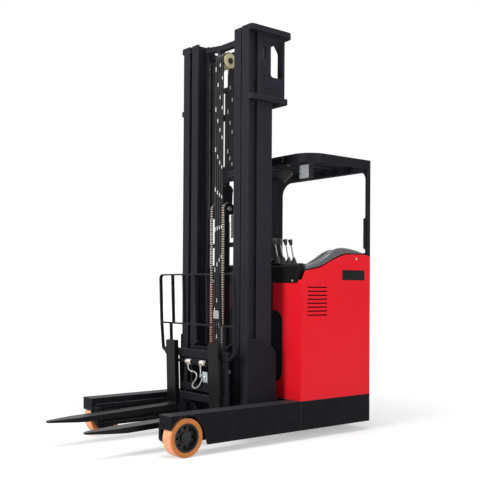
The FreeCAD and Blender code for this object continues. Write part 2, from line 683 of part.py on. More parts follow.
def rear_tie(z0, z1):
    # cross tie that passes behind the hoses
    x = IN_X - IN_D
    y0 = IN_Y0 + 4
    y1 = IN_Y1 - 22
    return plate("z", [(x, -y1, 0), (x, -y0, 0), (x - 64, -y0, 0), (x - 64, y0, 0), (x, y0, 0), (x, y1, 0),
                       (x - 88, y1, 20), (x - 88, -y1, 20)], z0, z1)


def inner_mast_ties():
    x = IN_X - IN_D
    top = MAST_TOP - 58
    head = plate("z", [(x + 40, -IN_Y0, 0), (x, -IN_Y0, 0), (x - 59, -125, 8), (x - 59, 125, 8), (x, IN_Y0, 0),
                       (x + 40, IN_Y0, 0), (x - 10, 110, 8), (x - 10, -110, 8)], top, MAST_TOP - 14)
    z0 = IN_BOT + 8
    low = box(x - 24, x, -IN_Y1, IN_Y1, z0, z0 + 110)
    low = low.cut(box(x - 30, x + 1, -FL_R - 5, FL_R + 5, z0 + 20, z0 + 120))
    # the pulley stands on an axle that one arm holds on its far side
    axle = rod_y(FL_X, HP_Z, 16, -HP_W / 2 - 32, HP_W / 2 + 3)
    y0 = -HP_W / 2 - 14
    arms = [plate("y", [(FL_X - 35, HP_Z - 30, 30), (FL_X + 35, HP_Z - 30, 30), (FL_X + 8, top),
                        (FL_X - 48, top)], y0 - 18, y0)]
    foot = rod_z(FL_X, 0, 60, z0, z0 + 20)
    return fuse([head, axle] + arms), rear_tie(TIE_Z, TIE_Z + TIE_H), fuse([low, foot])


def free_lift_cylinder():
    z0 = IN_BOT + 28
    z1 = CH_Z - 100
    s = rod_z(FL_X, 0, FL_R, z0, z1).cut(rod_z(FL_X, 0, FL_ROD + 3, z0 + 25, z1 + 1))
    # chain anchor and the two ties that hold the cylinder between the uprights
    hole = rod_z(FL_X, 0, FL_ROD + 3, z0 + 25, z1 + 1)
    x = CH_X - CH_R - 22
    y = CH_Y + 20
    parts = [box(x, x + 38, -y, y, CH_Z - 300, CH_Z - 264).cut(hole)]
    y = IN_Y0 - SEAT
    for z in (CH_Z - 300, CH_Z - 492):
        parts.append(box(x - 4, x + 13, -y, y, z, z + 35).cut(hole))
    return fuse([s] + parts)


def crosshead():
    rod = rod_z(FL_X, 0, FL_ROD, IN_BOT + 68, CH_Z - 30)
    head = box(FL_X - 42, CH_X + 15, -46, 46, CH_Z - 30, CH_Z + 14)
    axle = rod_y(CH_X, CH_Z, 14, -CH_Y - 34, CH_Y + 34)
    w = 24.0
    d = CH_R - 8
    wheels = []
    for s in (-1, 1):
        y = s * CH_Y
        wheels.append(lathe_y(CH_X, CH_Z, [(12, y - w), (CH_R, y - w), (CH_R, y - w + 5), (d, y - w + 5),
                                           (d, y + w - 5), (CH_R, y + w - 5), (CH_R, y + w), (12, y + w)]))
    # hooded hose sheave over the head
    z = CH_Z + 150
    hood = lathe_y(FL_X, z, [(42, -47), (46, -47), (46, 47), (42, 47)])
    hood = hood.cut(box(FL_X - 50, FL_X + 50, -50, 50, z - 60, z - 8))
    cheeks = []
    for s in (-1, 1):
        a, b = sorted((s * 38, s * 46))
        cheeks.append(plate("y", [(FL_X - 36, CH_Z + 10), (FL_X + 36, CH_Z + 10), (FL_X + 42.5, z - 5),
                                  (FL_X + 42.5, z + 6), (FL_X, z + 44, 24), (FL_X - 42.5, z + 6),
                                  (FL_X - 42.5, z - 5)], a, b))
    sheave = lathe_y(FL_X, z, [(0, -39), (34, -39), (34, -30), (28, -26), (28, 26), (34, 30), (34, 39), (0, 39)])
    return fuse([rod, head, axle, hood, sheave] + wheels + cheeks)


def lift_chain():
    r = CH_R - 8 + SEAT
    t = CHAIN_T
    y0 = CH_Y - CHAIN_W / 2
    y1 = CH_Y + CHAIN_W / 2
    ring = lathe_y(CH_X, CH_Z, [(r, y0), (r + t, y0), (r + t, y1), (r, y1)])
    ring = ring.common(box(CH_X - 90, CH_X + 90, y0 - 1, y1 + 1, CH_Z, CH_Z + 90))
    front = box(CH_X + r, CH_X + r + t, y0, y1, CAR_TOP + SEAT, CH_Z)
    back = box(CH_X - r - t, CH_X - r, y0, y1, CH_Z - 264 + SEAT, CH_Z)
    return fuse([ring, front, back])


def hose_rows():
    return [HOSE_PITCH * (i - (HOSES - 1) / 2.0) for i in range(HOSES)]


def hose_pulley():
    w = HP_W / 2
    low = HP_R + 3 - HOSE_R - SEAT
    sect = [(16 + SEAT, -w), (HP_R, -w)]
    for y in hose_rows():
        sect += [(HP_R, y - 11), (low, y - 8), (low, y + 8), (HP_R, y + 11)]
    sect += [(HP_R, w), (16 + SEAT, w)]
    return lathe_y(FL_X, HP_Z, sect)


def mast_hoses():
    r = HP_R + 3
    rows = hose_rows()
    out = []
    for y in rows:
        front = rod_z(FL_X + r, y, HOSE_R, CAR_TOP + 30, HP_Z)
        back = rod_z(FL_X - r, y, HOSE_R, TIE_Z + 10, HP_Z)
        disc = Part.Face(Part.Wire([Part.makeCircle(HOSE_R, Vector(FL_X + r, y, HP_Z), Vector(0, 0, 1))]))
        bend = disc.revolve(Vector(FL_X, y, HP_Z), Vector(0, -1, 0), 180)
        out.append(fuse([front, bend, back]))
    a = rows[0] - 8
    b = rows[-1] + 8
    clip_f = box(FL_X + r - 14, FL_X + r + 14, a, b, CAR_TOP + 40, CAR_TOP + 70)
    clip_b = box(IN_X - IN_D - 64, FL_X - r + 12, a, b, TIE_Z + 30, TIE_Z + 80)
    return fuse(out + [clip_f, clip_b])


# Lift carriage and forks
def lift_carriage():
    parts = []
    xr = IN_X - IN_D / 2
    r = IN_D / 2 - FLANGE - 0.5
    x = CAR_X
    y = IN_Y0
    for s in (-1, 1):
        y0, y1 = sorted((s * (y - 27), s * (y - 9)))
        parts.append(plate("y", [(PIV_X + 24, PIV_Z - 30, 24), (PIV_X + 24, PIV_Z + 26, 24), (x, PIV_Z + 40, 20),
                                 (x, CAR_TOP + 10, 30), (x - 75, CAR_TOP + 40, 30), (x - 160, CAR_TOP + 10, 40),
                                 (x - 160, CAR_LOW - 20, 40), (x - 40, CAR_LOW - 60, 30)], y0, y1))
        for z in (CAR_LOW + 40, CAR_TOP - 50):
            a0, a1 = sorted((s * (y - 5), s * (y + 27)))
            parts.append(rod_y(xr, z, r, a0, a1))
            b0, b1 = sorted((s * (y - 15), s * (y - 1)))
            parts.append(rod_y(xr, z, 18, b0, b1))
        c0, c1 = sorted((s * (CH_Y - 18), s * (CH_Y + 18)))
        parts.append(box(x - 104, x - 30, c0, c1, CAR_TOP - 50, CAR_TOP))
        p0, p1 = sorted((s * (y - 27), s * (y + 21)))
        parts.append(rod_y(PIV_X, PIV_Z, 15, p0, p1))
    for z0, z1 in ((CAR_TOP - 50, CAR_TOP), (CAR_LOW, CAR_LOW + 40)):
        parts.append(box(x - 30, x, -y + 27, y - 27, z0, z1))
    return fuse(parts)


def tipped(shape):
    s = shape.copy()
    s.rotate(Vector(PIV_X, 0, PIV_Z), Vector(0, 1, 0), TILT)
    return s


def tilt_frame():
    x1 = FORK_FACE - FORK_T - BAR_T - SEAT
    x0 = x1 - 32
    y = IN_Y0 + 21
    parts = [box(x0, x1, -y, y, CAR_TOP - 90, CAR_TOP - 40), box(x0, x1, -y, y, BAR_LOW[1] + 21, BAR_LOW[1] + 66)]
    for s in (-1, 1):
        y0, y1 = sorted((s * (y - 20), s * y))
        lug = plate("y", [(x1, PIV_Z - 30, 0), (x1, CAR_TOP - 40, 0), (x0, CAR_TOP - 40, 0), (x0, PIV_Z + 70, 20),
                          (PIV_X - 30, PIV_Z + 20, 20), (PIV_X - 30, PIV_Z - 30, 26), (x1 - 5, PIV_Z - 30, 0)],
                    y0, y1)
        parts.append(lug.cut(rod_y(PIV_X, PIV_Z, 15 + SEAT, y0 - 1, y1 + 1)))
    # side-shift cylinder: tube here, rod on the fork bars
    xc = FORK_FACE - FORK_T - BAR_T / 2
    half = FORK_Y - FORK_W / 2 - SHIFT - 7
    tube = rod_y(xc, SHIFT_Z, SHIFT_R, -half, half).cut(rod_y(xc, SHIFT_Z, 12.3, -half - 1, half + 1))
    clip = box(x0, xc, -40, 40, SHIFT_Z - 24, SHIFT_Z + 24).cut(rod_y(xc, SHIFT_Z, SHIFT_R - 1, -41, 41))
    # valve block on the lower cross bar
    z = BAR_LOW[1] + 66
    shelf = box(x0, x1 + 8, 74, 136, z - 1, z + 20)
    valve = box(x0 + 10, x1 + 12, 73, 138, z + 20, z + 105)
    return fuse(parts + [tube, clip, shelf, valve])


def fork_bars():
    parts = []
    x = FORK_FACE - FORK_T
    for z0, z1, half in ((BAR_TOP[0], BAR_TOP[1], BAR_END), (BAR_LOW[0], BAR_LOW[1], CHAN_LIP - 69)):
        parts.append(box(x - BAR_T, x, -half, half, z0, z1))
    for y in (-FORK_Y - 75, FORK_Y + 75):
        parts.append(box(x - BAR_T, x - 8, y - 25, y + 25, BAR_LOW[1], BAR_TOP[0]))
    parts.append(rod_y(x - BAR_T / 2, SHIFT_Z, 12, -FORK_Y - 65, FORK_Y + 65))
    return fuse(parts)


def fork():
    y0 = FORK_Y - FORK_W / 2
    y1 = FORK_Y + FORK_W / 2
    b = FORK_FACE - FORK_T
    tip = FRONT_TIP
    pts = [(b, FORK_TOP - FORK_T, 50), (tip - 300, FORK_TOP - FORK_T, 0), (tip, FORK_TOP - 14, 0),
           (tip, FORK_TOP - 3, 0), (tip - 40, FORK_TOP, 0), (FORK_FACE, FORK_TOP, 12), (FORK_FACE, SHANK_TOP, 10),
           (b, SHANK_TOP, 0)]
    s = plate("y", pts, y0, y1)
    plan = plate("z", [(b - 5, y0), (tip - 220, y0, 100), (tip, y0 + 38, 20), (tip, y1 - 38, 20),
                       (tip - 220, y1, 100), (b - 5, y1)], FORK_TOP - FORK_T - 20, SHANK_TOP + 20)
    return s.common(plan)


def load_backrest():
    # flat bars set on edge: one bent round the outside, a cross bar and thin uprights
    x0 = BR_X - 32
    x1 = x0 + BR_DEPTH
    w = BR_BAR
    parts = [box(x0, x1, -BR_Y, BR_Y, BR_MID - w / 2, BR_MID + w / 2)]
    rim = plate("x", [(-BR_Y, BR_MID, 0), (-BR_Y, BR_TOP, 40), (BR_Y, BR_TOP, 40), (BR_Y, BR_MID, 0)], x0, x1)
    rim = rim.cut(plate("x", [(-BR_Y + w, BR_MID - 1, 0), (-BR_Y + w, BR_TOP - w, 40 - w),
                              (BR_Y - w, BR_TOP - w, 40 - w), (BR_Y - w, BR_MID - 1, 0)], x0 - 1, x1 + 1))
    parts.append(rim)
    for i in range(5):
        y = BR_Y * 0.3164 * (i - 2)
        parts.append(box(x0, x1, y - w / 2, y + w / 2, BR_MID, BR_TOP - w / 2))
    bend = BAR_TOP[1] - 16
    for s in (-1, 1):
        parts.append(plate("x", [(s * BR_Y, BR_MID, 0), (s * (BR_Y - 16), bend, 14), (s * BAR_END, BAR_TOP[0] + 4, 0),
                                 (s * BAR_END, BAR_TOP[0] + 20, 0), (s * (BR_Y - 16 - w), bend + 8, 10),
                                 (s * (BR_Y - w), BR_MID, 0)], x0, x1))
        y = s * (BR_Y - 142)
        parts.append(box(x0, x1, y - w / 2, y + w / 2, BAR_TOP[1], BR_MID))
    return fuse(parts)


def build():
    save("base_frame", base_frame())
    both("support_leg", leg())
    tyre, hub = load_wheel()
    both("load_tyre", tyre)
    both("load_hub", hub)
    tyre, hub = drive_wheel()
    save("drive_tyre", tyre)
    save("drive_hub", hub)
    save("drive_unit", drive_unit())
    save("battery", battery())
    save("side_panel_left", side_panel_left())
    save("side_panel_right", side_panel_right())
    save("front_panel", front_panel())
    save("rear_panel", rear_panel())
    save("console", console())
    save("control_levers", control_levers())
    save("armrest_cover", armrest_cover())
    save("operator_floor", operator_floor())
    save("seat_box", seat_box())
    save("seat", seat())
    save("steering_wheel", steering_wheel())
    save("work_lamp", work_lamp())
    save("mirror_plate", mirror_plate())
    save("grab_handle", grab_handle())
    save("guard_roof", guard_roof())
    save("guard_portal", guard_portal())
    save("guard_front_post", guard_front_post())
    both("reach_side", reach_side())
    save("reach_frame", reach_frame())
    both("outer_upright", outer_upright())
    both("mast_bracket", mast_bracket())
    top, low = mast_cross_ties()
    save("mast_tie_top", top)
    save("mast_tie_low", low)
    both("lift_cylinder", lift_cylinder())
    both("lift_rod", lift_rod())
    both("inner_upright", inner_upright())
    head, mid, foot = inner_mast_ties()
    save("inner_mast_head", head)
    save("inner_tie_mid", mid)
    save("inner_tie_low", foot)
    save("inner_tie_top", rear_tie(BAR_TOP_Z, BAR_TOP_Z + 37))
    save("free_lift_cylinder", free_lift_cylinder())
    save("crosshead", crosshead())
    both("lift_chain", lift_chain())
    save("hose_pulley", hose_pulley())
    save("mast_hoses", mast_hoses())
    save("lift_carriage", lift_carriage())
    save("tilt_frame", tipped(tilt_frame()))
    save("fork_bars", tipped(fork_bars()))
    both("fork", tipped(fork()))
    save("load_backrest", tipped(load_backrest()))


build()
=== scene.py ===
import math
import bmesh
import bpy
from mathutils import Matrix, Vector


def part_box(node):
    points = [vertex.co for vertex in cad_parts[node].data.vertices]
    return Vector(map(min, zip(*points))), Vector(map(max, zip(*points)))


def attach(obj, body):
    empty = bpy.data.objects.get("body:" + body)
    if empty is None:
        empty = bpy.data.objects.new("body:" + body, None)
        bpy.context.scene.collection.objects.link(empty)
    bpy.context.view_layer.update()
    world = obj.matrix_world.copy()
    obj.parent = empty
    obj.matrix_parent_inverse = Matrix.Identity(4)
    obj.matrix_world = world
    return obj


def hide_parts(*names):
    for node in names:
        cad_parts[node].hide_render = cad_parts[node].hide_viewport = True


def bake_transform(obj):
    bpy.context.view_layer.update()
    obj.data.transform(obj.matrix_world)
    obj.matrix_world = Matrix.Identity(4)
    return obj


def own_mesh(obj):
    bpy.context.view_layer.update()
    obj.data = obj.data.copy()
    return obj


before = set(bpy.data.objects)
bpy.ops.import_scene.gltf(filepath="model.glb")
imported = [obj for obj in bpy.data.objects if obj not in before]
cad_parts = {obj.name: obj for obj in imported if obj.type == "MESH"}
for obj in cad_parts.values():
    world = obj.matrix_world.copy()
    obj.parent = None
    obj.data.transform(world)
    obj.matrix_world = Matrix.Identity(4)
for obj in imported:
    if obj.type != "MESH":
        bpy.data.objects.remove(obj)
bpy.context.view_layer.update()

# Viewpoint
# A standing viewer's eye, off the truck's left front corner. The lens is shifted
# so that the uprights stay parallel.
eye = (3.773, 5.063, 1.1665)
view_x, view_y = -0.6289, -0.7775
pitch, roll = math.radians(0.59), math.radians(0.35)
ahead = Vector((view_x * math.cos(pitch), view_y * math.cos(pitch), math.sin(pitch)))
lens = bpy.data.cameras.new("view")
lens.sensor_width = 36.0
lens.lens = 59.7
lens.shift_y = 0.0817
camera = bpy.data.objects.new("view", lens)
bpy.context.collection.objects.link(camera)
turn = ahead.to_track_quat("-Z", "Y").to_matrix().to_4x4()
camera.matrix_world = Matrix.Translation(eye) @ turn @ Matrix.Rotation(roll, 4, "Z")
bpy.context.scene.camera = camera
bpy.context.scene.view_settings.view_transform = "Standard"


# Satin black enamel
# Chassis, mast and guard are welded steel, shot blasted and sprayed with one
# coat of charcoal black. Its paler edges are partly rubbed paint and partly a painted
# edge highlight; its paler tops are partly dust and partly painted top light.
class Wire:
    """A socket of a material's tree. Sums and products on it add Math nodes."""

    def __init__(self, tree, socket=None):
        self.tree = tree
        self.socket = socket

    def join(self, target, value):
        if isinstance(value, Wire):
            self.tree.links.new(value.socket, target)
        else:
            target.default_value = value

    def node(self, kind, settings, values, out=0):
        made = self.tree.nodes.new("ShaderNode" + kind)
        for key, value in settings.items():
            if key == "stops":
                ramp = made.color_ramp
                while len(ramp.elements) < len(value):
                    ramp.elements.new(0.5)
                for stop, (place, colour) in zip(ramp.elements, value):
                    stop.position = place
                    stop.color = colour
            else:
                setattr(made, key, value)
        for key, value in values.items():
            self.join(made.inputs[key], value)
        return Wire(self.tree, made.outputs[out])

    def maths(self, operation, a, b=0.0):
        return self.node("Math", {"operation": operation}, {0: a, 1: b})

    def __add__(self, other):
        return self.maths("ADD", self, other)

    __radd__ = __add__

    def __mul__(self, other):
        return self.maths("MULTIPLY", self, other)

    __rmul__ = __mul__

    def __sub__(self, other):
        return self.maths("SUBTRACT", self, other)

    def __rsub__(self, other):
        return self.maths("SUBTRACT", other, self)

    def __gt__(self, other):
        return self.maths("GREATER_THAN", self, other)

    def __lt__(self, other):
        return self.maths("LESS_THAN", self, other)

    def __pow__(self, other):
        return self.maths("POWER", self, other)

    def within(self, low, high):
        return self.node("MapRange", {"clamp": True}, {"Value": self, "From Min": low, "From Max": high})

    def tint(self, under, over):
        """Colour under where this is 0 and over where it is 1."""
        return self.node("Mix", {"data_type": "RGBA"}, {0: self, 6: under, 7: over}, 2)


class Finish:
    """A procedural material, its shader and the places that its patterns follow."""

    def __init__(self, name, **fixed):
        self.material = bpy.data.materials.new(name)
        self.material.use_nodes = True
        tree = self.material.node_tree
        self.shader = tree.nodes["Principled BSDF"]
        for key, value in fixed.items():
            self.shader.inputs[key.replace("_", " ")].default_value = value
        self.wire = Wire(tree)
        self.place = self.node("TexCoord", {}, {}, "Object")
        self.facing = self.node("TexCoord", {}, {}, "Normal")

    def node(self, kind, settings, values, out=0):
        return self.wire.node(kind, settings, values, out)

    def cloud(self, scale, detail=3.0, rough=0.5, place=None):
        return self.node("TexNoise", {}, {"Vector": place or self.place, "Scale": scale, "Detail": detail,
                                          "Roughness": rough}, 0)

    def cells(self, scale, feature="F1"):
        return self.node("TexVoronoi", {"feature": feature}, {"Vector": self.place, "Scale": scale},
                         "Distance")

    def axis(self, index, of=None):
        return self.node("SeparateXYZ", {}, {0: of or self.place}, index)

    def softened(self, radius):
        """Normal rounded off near edges."""
        return self.node("Bevel", {"samples": 4}, {"Radius": radius}, 0)

    def edges(self, radius):
        """Softened normal near edges, and how much of an edge a point is."""
        soft = self.softened(radius)
        flat = self.node("NewGeometry", {}, {}, "Normal")
        same = self.node("VectorMath", {"operation": "DOT_PRODUCT"}, {0: soft, 1: flat}, "Value")
        return soft, (1.0 - same).within(0.01, 0.22)

    def set(self, **sockets):
        for key, value in sockets.items():
            self.wire.join(self.shader.inputs[key.replace("_", " ")], value)

    def bump(self, height, strength, distance=0.001, over=None):
        values = {"Height": height, "Strength": strength, "Distance": distance}
        if over is not None:
            values["Normal"] = over
        return self.node("Bump", {}, values, 0)


def grey(level, warm=0.0):
    return (level * (1 + warm), level, level * (1 - warm), 1.0)


def dress(finish, *nodes):
    """Gives carried-over CAD nodes their material."""
    for name in nodes:
        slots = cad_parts[name].data.materials
        slots.clear()
        slots.append(finish.material)


def enamel(name, dark, light, rough, shine=0.07):
    """Sprayed paint, paler at edges (rubbed paint and painted edge highlight), paler on tops (dust and
    painted top light) and dull underneath.
    """
    f = Finish(name, IOR=1.5, Specular_IOR_Level=shine)
    soft, edge_highlight_and_wear = f.edges(0.0035)
    drift = f.cloud(2.3, 5.0, 0.6)
    dust = f.cloud(19.0, 6.0, 0.7).within(0.45, 0.8)
    peel = f.cloud(520.0, 2.0)
    base = drift.tint((dark, dark * 0.97, dark * 1.3, 1), (light, light * 0.97, light * 1.28, 1))
    under = f.axis(2, f.facing).within(-0.3, -0.8)
    # painted top light and dust: upward faces are paled toward grey
    lit_top_and_dust = f.axis(2, f.facing).within(0.7, 0.95) * (0.22 + dust * 0.12)
    # painted edge highlight and wear: edges are paled toward a lighter grey
    base = (edge_highlight_and_wear * 0.6 + dust * 0.04).tint(lit_top_and_dust.tint(base, grey(0.1, -0.04)), grey(0.14, -0.04))
    f.set(Base_Color=base,
          Roughness=rough + drift * 0.12 + dust * 0.06 - edge_highlight_and_wear * 0.08 + under * 0.42,
          Normal=f.bump(peel, 0.16, 0.0005, soft))
    return f


# One paint in three copies: the mast's copy is painted paler as painted light, and the chassis's copy
# darker as painted shade.
black_enamel = enamel("satin_black_enamel", 0.009, 0.015, 0.36, 0.05)
lit_mast_enamel = enamel("mast_black_enamel_painted_light", 0.014, 0.022, 0.34, 0.06)
shaded_chassis_enamel = enamel("chassis_black_enamel_painted_shade", 0.006, 0.010, 0.36, 0.04)
dress(shaded_chassis_enamel, "base_frame", "support_leg_left", "support_leg_right", "operator_floor", "rear_panel",
      "drive_unit")
dress(black_enamel, "guard_roof", "guard_portal", "guard_front_post", "reach_side_left", "reach_side_right",
      "reach_frame", "lift_carriage", "tilt_frame", "fork_bars", "load_backrest", "crosshead")
dress(lit_mast_enamel, "outer_upright_left", "outer_upright_right", "inner_upright_left", "inner_upright_right",
      "mast_bracket_left", "mast_bracket_right", "mast_tie_top", "mast_tie_low", "inner_mast_head",
      "inner_tie_mid", "inner_tie_low", "inner_tie_top", "free_lift_cylinder", "lift_cylinder_left",
      "lift_cylinder_right")


# Fork blades
# Forged steel forks, painted black; pallets have rubbed the blades' tops and
# tips to a duller, lighter grey.
fork_steel = Finish("fork_steel", IOR=1.5, Specular_IOR_Level=0.12)
soft, edge_highlight_and_wear = fork_steel.edges(0.003)
up = fork_steel.axis(2, fork_steel.facing).within(0.7, 0.95)
scrape = fork_steel.cloud(1.0, 8.0, 0.75, fork_steel.node("VectorMath", {"operation": "MULTIPLY"}, {
    0: fork_steel.place, 1: (6.0, 90.0, 40.0)})).within(0.42, 0.72)
heel = fork_steel.axis(0).within(0.16, 0.5)
worn = up * scrape * heel
# painted edge highlight and wear: the edge mask lightens the blades' edges
base = (worn * 0.7 + edge_highlight_and_wear * 0.45).tint(grey(0.005, -0.04), grey(0.10, -0.02))
fork_steel.set(Base_Color=base, Metallic=worn * 0.5, Roughness=0.36 + worn * 0.1,
               Normal=fork_steel.bump(scrape, 0.1, 0.0006, soft))
dress(fork_steel, "fork_left", "fork_right")


# Wheels
# Poured orange polyurethane tyres on cast iron hubs. The treads carry pale scuffs
# and dirt, the side walls stay smooth.
tread = Finish("orange_polyurethane", IOR=1.48, Specular_IOR_Level=0.25, Subsurface_Weight=0.12,
               Subsurface_Scale=0.01)
side = tread.node("Math", {"operation": "ABSOLUTE"}, {0: tread.axis(1, tread.facing)}).within(0.35, 0.75)
mottle = tread.cloud(38.0, 6.0, 0.65)
stain = tread.cloud(11.0, 5.0, 0.7).within(0.5, 0.75)
wall = mottle.tint((0.45, 0.135, 0.026, 1), (0.62, 0.215, 0.046, 1))
run = mottle.within(0.3, 0.7).tint((0.80, 0.33, 0.16, 1), (0.92, 0.46, 0.27, 1))
base = side.tint(run, wall)
base = (stain * 0.35).tint(base, (0.30, 0.10, 0.04, 1))
tread.set(Base_Color=base, Roughness=0.38 + (1 - side) * 0.2, Normal=tread.bump(mottle, 0.25, 0.0008))
dress(tread, "load_tyre_left", "load_tyre_right", "drive_tyre")

hub_iron = Finish("black_cast_iron", IOR=1.5, Specular_IOR_Level=0.25)
soft, edge_highlight_and_wear = hub_iron.edges(0.002)
sand = hub_iron.cloud(260.0, 3.0, 0.6)
# painted edge highlight and wear: edges are lightened toward grey
hub_iron.set(Base_Color=(edge_highlight_and_wear * 0.5).tint(grey(0.009, -0.08), grey(0.08)), Roughness=0.34 + sand * 0.22,
             Normal=hub_iron.bump(sand, 0.35, 0.0008, soft))
dress(hub_iron, "load_hub_left", "load_hub_right", "drive_hub")


# Turned and hexagon hardware
# Zinc plated screws on the console's front and the guard, and the cast iron cap
# that is pressed over each load wheel's axle end.
def turned(bm, at, way, profile, sides=24):
    """A closed body of revolution about a line, from (radius, height) steps."""
    at, way = Vector(at), Vector(way).normalized()
    across = way.orthogonal().normalized()
    along = way.cross(across)
    rings = []
    for radius, height in profile:
        ring = []
        for i in range(sides):
            a = 2 * math.pi * i / sides
            spoke = across * math.cos(a) + along * math.sin(a)
            ring.append(bm.verts.new(at + way * height + spoke * radius))
        rings.append(ring)
    for low, high in zip(rings, rings[1:]):
        for i in range(sides):
            j = (i + 1) % sides
            bm.faces.new((low[i], low[j], high[j], high[i]))
    bm.faces.new(list(reversed(rings[0])))
    bm.faces.new(rings[-1])


def slab(bm, corners, way, thick, soft=0.0):
    """A flat plate from its outline's corners, thickened along a direction."""
    way = Vector(way).normalized() * thick
    low = [bm.verts.new(Vector(c)) for c in corners]
    high = [bm.verts.new(Vector(c) + way) for c in corners]
    n = len(corners)
    faces = [bm.faces.new(low), bm.faces.new(list(reversed(high)))]
    for i in range(n):
        j = (i + 1) % n
        faces.append(bm.faces.new((low[j], low[i], high[i], high[j])))
    if soft:
        rim = [e for f in faces[:2] for e in f.edges]
        bmesh.ops.bevel(bm, geom=rim, offset=soft, segments=2, affect="EDGES", profile=0.6)


def rounded(width, height, radius):
    """Corners of a rounded rectangle about its middle."""
    points = []
    steps = 5
    for cx, cy, start in ((1, 1, 0), (-1, 1, 90), (-1, -1, 180), (1, -1, 270)):
        for i in range(steps + 1):
            a = math.radians(start + 90 * i / steps)
            points.append((cx * (width / 2 - radius) + radius * math.cos(a),
                           cy * (height / 2 - radius) + radius * math.sin(a)))
    return points


def piece(name, bm, finish, body, crease=38.0):
    """Turns the mesh into a shown piece."""
    bmesh.ops.recalc_face_normals(bm, faces=bm.faces)
    limit = math.radians(crease)
    for e in bm.edges:
        e.smooth = e.calc_face_angle(math.pi) < limit
    for f in bm.faces:
        f.smooth = True
    mesh = bpy.data.meshes.new(name)
    bm.to_mesh(mesh)
    bm.free()
    mesh.materials.append(finish.material)
    obj = bpy.data.objects.new(name, mesh)
    bpy.context.collection.objects.link(obj)
    if body:
        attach(obj, body)
    return obj


def hexagon(bm, at, way, across, tall):
    """Washer and hexagon head with its turned chamfer."""
    turned(bm, at, way, [(across * 0.72, -0.0005), (across * 0.72, 0.0016), (across * 0.6, 0.002)], 20)
    r = across / 1.732
    at = Vector(at) + Vector(way).normalized() * 0.0018
    turned(bm, at, way, [(r, 0), (r, tall * 0.78), (r * 0.86, tall), (r * 0.3, tall)], 6)


def socket_head(bm, at, way, radius, tall):
    """Cap screw with a sunk middle."""
    turned(bm, at, way, [(radius, -0.0005), (radius, tall * 0.85), (radius * 0.9, tall),
                         (radius * 0.55, tall), (radius * 0.5, tall * 0.45)], 16)


zinc = Finish("zinc_plate", Metallic=1.0)
patch = zinc.cloud(160.0, 4.0, 0.6)
zinc.set(Base_Color=patch.tint((0.42, 0.42, 0.43, 1), (0.66, 0.66, 0.64, 1)), Roughness=0.26 + patch * 0.2)
blacking = Finish("blackened_screw", Metallic=0.6)
patch = blacking.cloud(200.0, 3.0)
blacking.set(Base_Color=patch.tint(grey(0.02), grey(0.06)), Roughness=0.35 + patch * 0.2)

left, front, upward = (0, 1, 0), (1, 0, 0), (0, 0, 1)
hands = (("left", 1), ("right", -1))
console_x, console_y, console_z = -0.434, 0.509, 1.221
bm = bmesh.new()
for _, sign in hands:
    hexagon(bm, (console_x, sign * console_y, console_z), front, 0.014, 0.007)
piece("body_bolts", bm, zinc, "chassis")

cap_sunk = 0.016
cap_steps = [(0.040, 0), (0.040, 0.009), (0.037, 0.0105), (0.024, 0.0105), (0.022, 0.015), (0.018, 0.0158)]
for hand, sign in hands:
    hub_lo, hub_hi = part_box("load_hub_" + hand)
    outer = hub_hi.y if sign > 0 else hub_lo.y
    at = ((hub_lo.x + hub_hi.x) / 2, outer - sign * cap_sunk, (hub_lo.z + hub_hi.z) / 2)
    bm = bmesh.new()
    turned(bm, at, (0, sign, 0), cap_steps, 36)
    piece("wheel_cap_" + hand, bm, hub_iron, "load_wheel_" + hand)

roof_front, roof_screw_y = -0.508, 0.307
post_front, post_y = -1.149, 0.601
bm = bmesh.new()
for y in (-roof_screw_y, roof_screw_y):
    for z in (2.206, 2.183):
        socket_head(bm, (roof_front, y, z), front, 0.0055, 0.003)
for z in (1.493, 1.741):
    socket_head(bm, (post_front, post_y, z), front, 0.005, 0.003)
piece("guard_screws", bm, zinc, "chassis")


# Red body panels
# Pressed steel covers in bright red gloss enamel; across the middle, behind the mast,
# the red is painted near black as painted shade of the mast. A plain black plate and
# a zinc screw lie flush in the left one.
screw_x, screw_z = -1.048, 1.405
red_enamel = Finish("red_gloss_enamel", IOR=1.5, Specular_IOR_Level=0.1, Coat_Roughness=0.12)
soft = red_enamel.softened(0.008)
drift = red_enamel.cloud(1.7, 3.0)
peel = red_enamel.cloud(300.0, 2.0)
x, y, z = (red_enamel.axis(i) for i in range(3))
foot = z.within(0.42, 0.28)
# painted shade: the panel's middle behind the mast is darkened to near black
painted_mast_shade = y.within(0.30, 0.27) * y.within(-0.53, -0.51) * x.within(-0.46, -0.45)
left_face = y > 0.6
plate = left_face * (x > -1.145) * (x < -0.882) * (z > 1.230) * (z < 1.312)
from_screw = (x - screw_x) ** 2.0 + (z - screw_z) ** 2.0
screw = left_face * (from_screw < 0.000085)
# painted shade: the screw's socket is a darker grey disc in its middle
screw_socket_shade = screw * (from_screw < 0.00002)
base = drift.tint((0.75, 0.008, 0.018, 1), (0.82, 0.012, 0.024, 1))
base = (foot * 0.12).tint(base, (0.42, 0.006, 0.01, 1))
# the painted shade of the mast is laid over the red here
base = (painted_mast_shade * 0.97).tint(base, (0.012, 0.006, 0.007, 1))
base = plate.tint(base, red_enamel.cloud(24.0, 4.0).tint(grey(0.003), grey(0.006)))
base = screw.tint(base, screw_socket_shade.tint(grey(0.62), grey(0.3)))
red_enamel.set(Base_Color=base, Roughness=0.36 + drift * 0.08 - plate * 0.1,
               Coat_Weight=0.06 + drift * 0.06, Metallic=screw * 0.6,
               Normal=red_enamel.bump(peel + (plate + screw) * 4.0, 0.06, 0.0005, soft))
dress(red_enamel, "side_panel_left", "side_panel_right", "front_panel")


# Battery
# A welded steel trough of lead cells, stove black; only its front face shows
# through the window of the front panel.
trough = enamel("battery_trough", 0.008, 0.014, 0.5)
dress(trough, "battery")


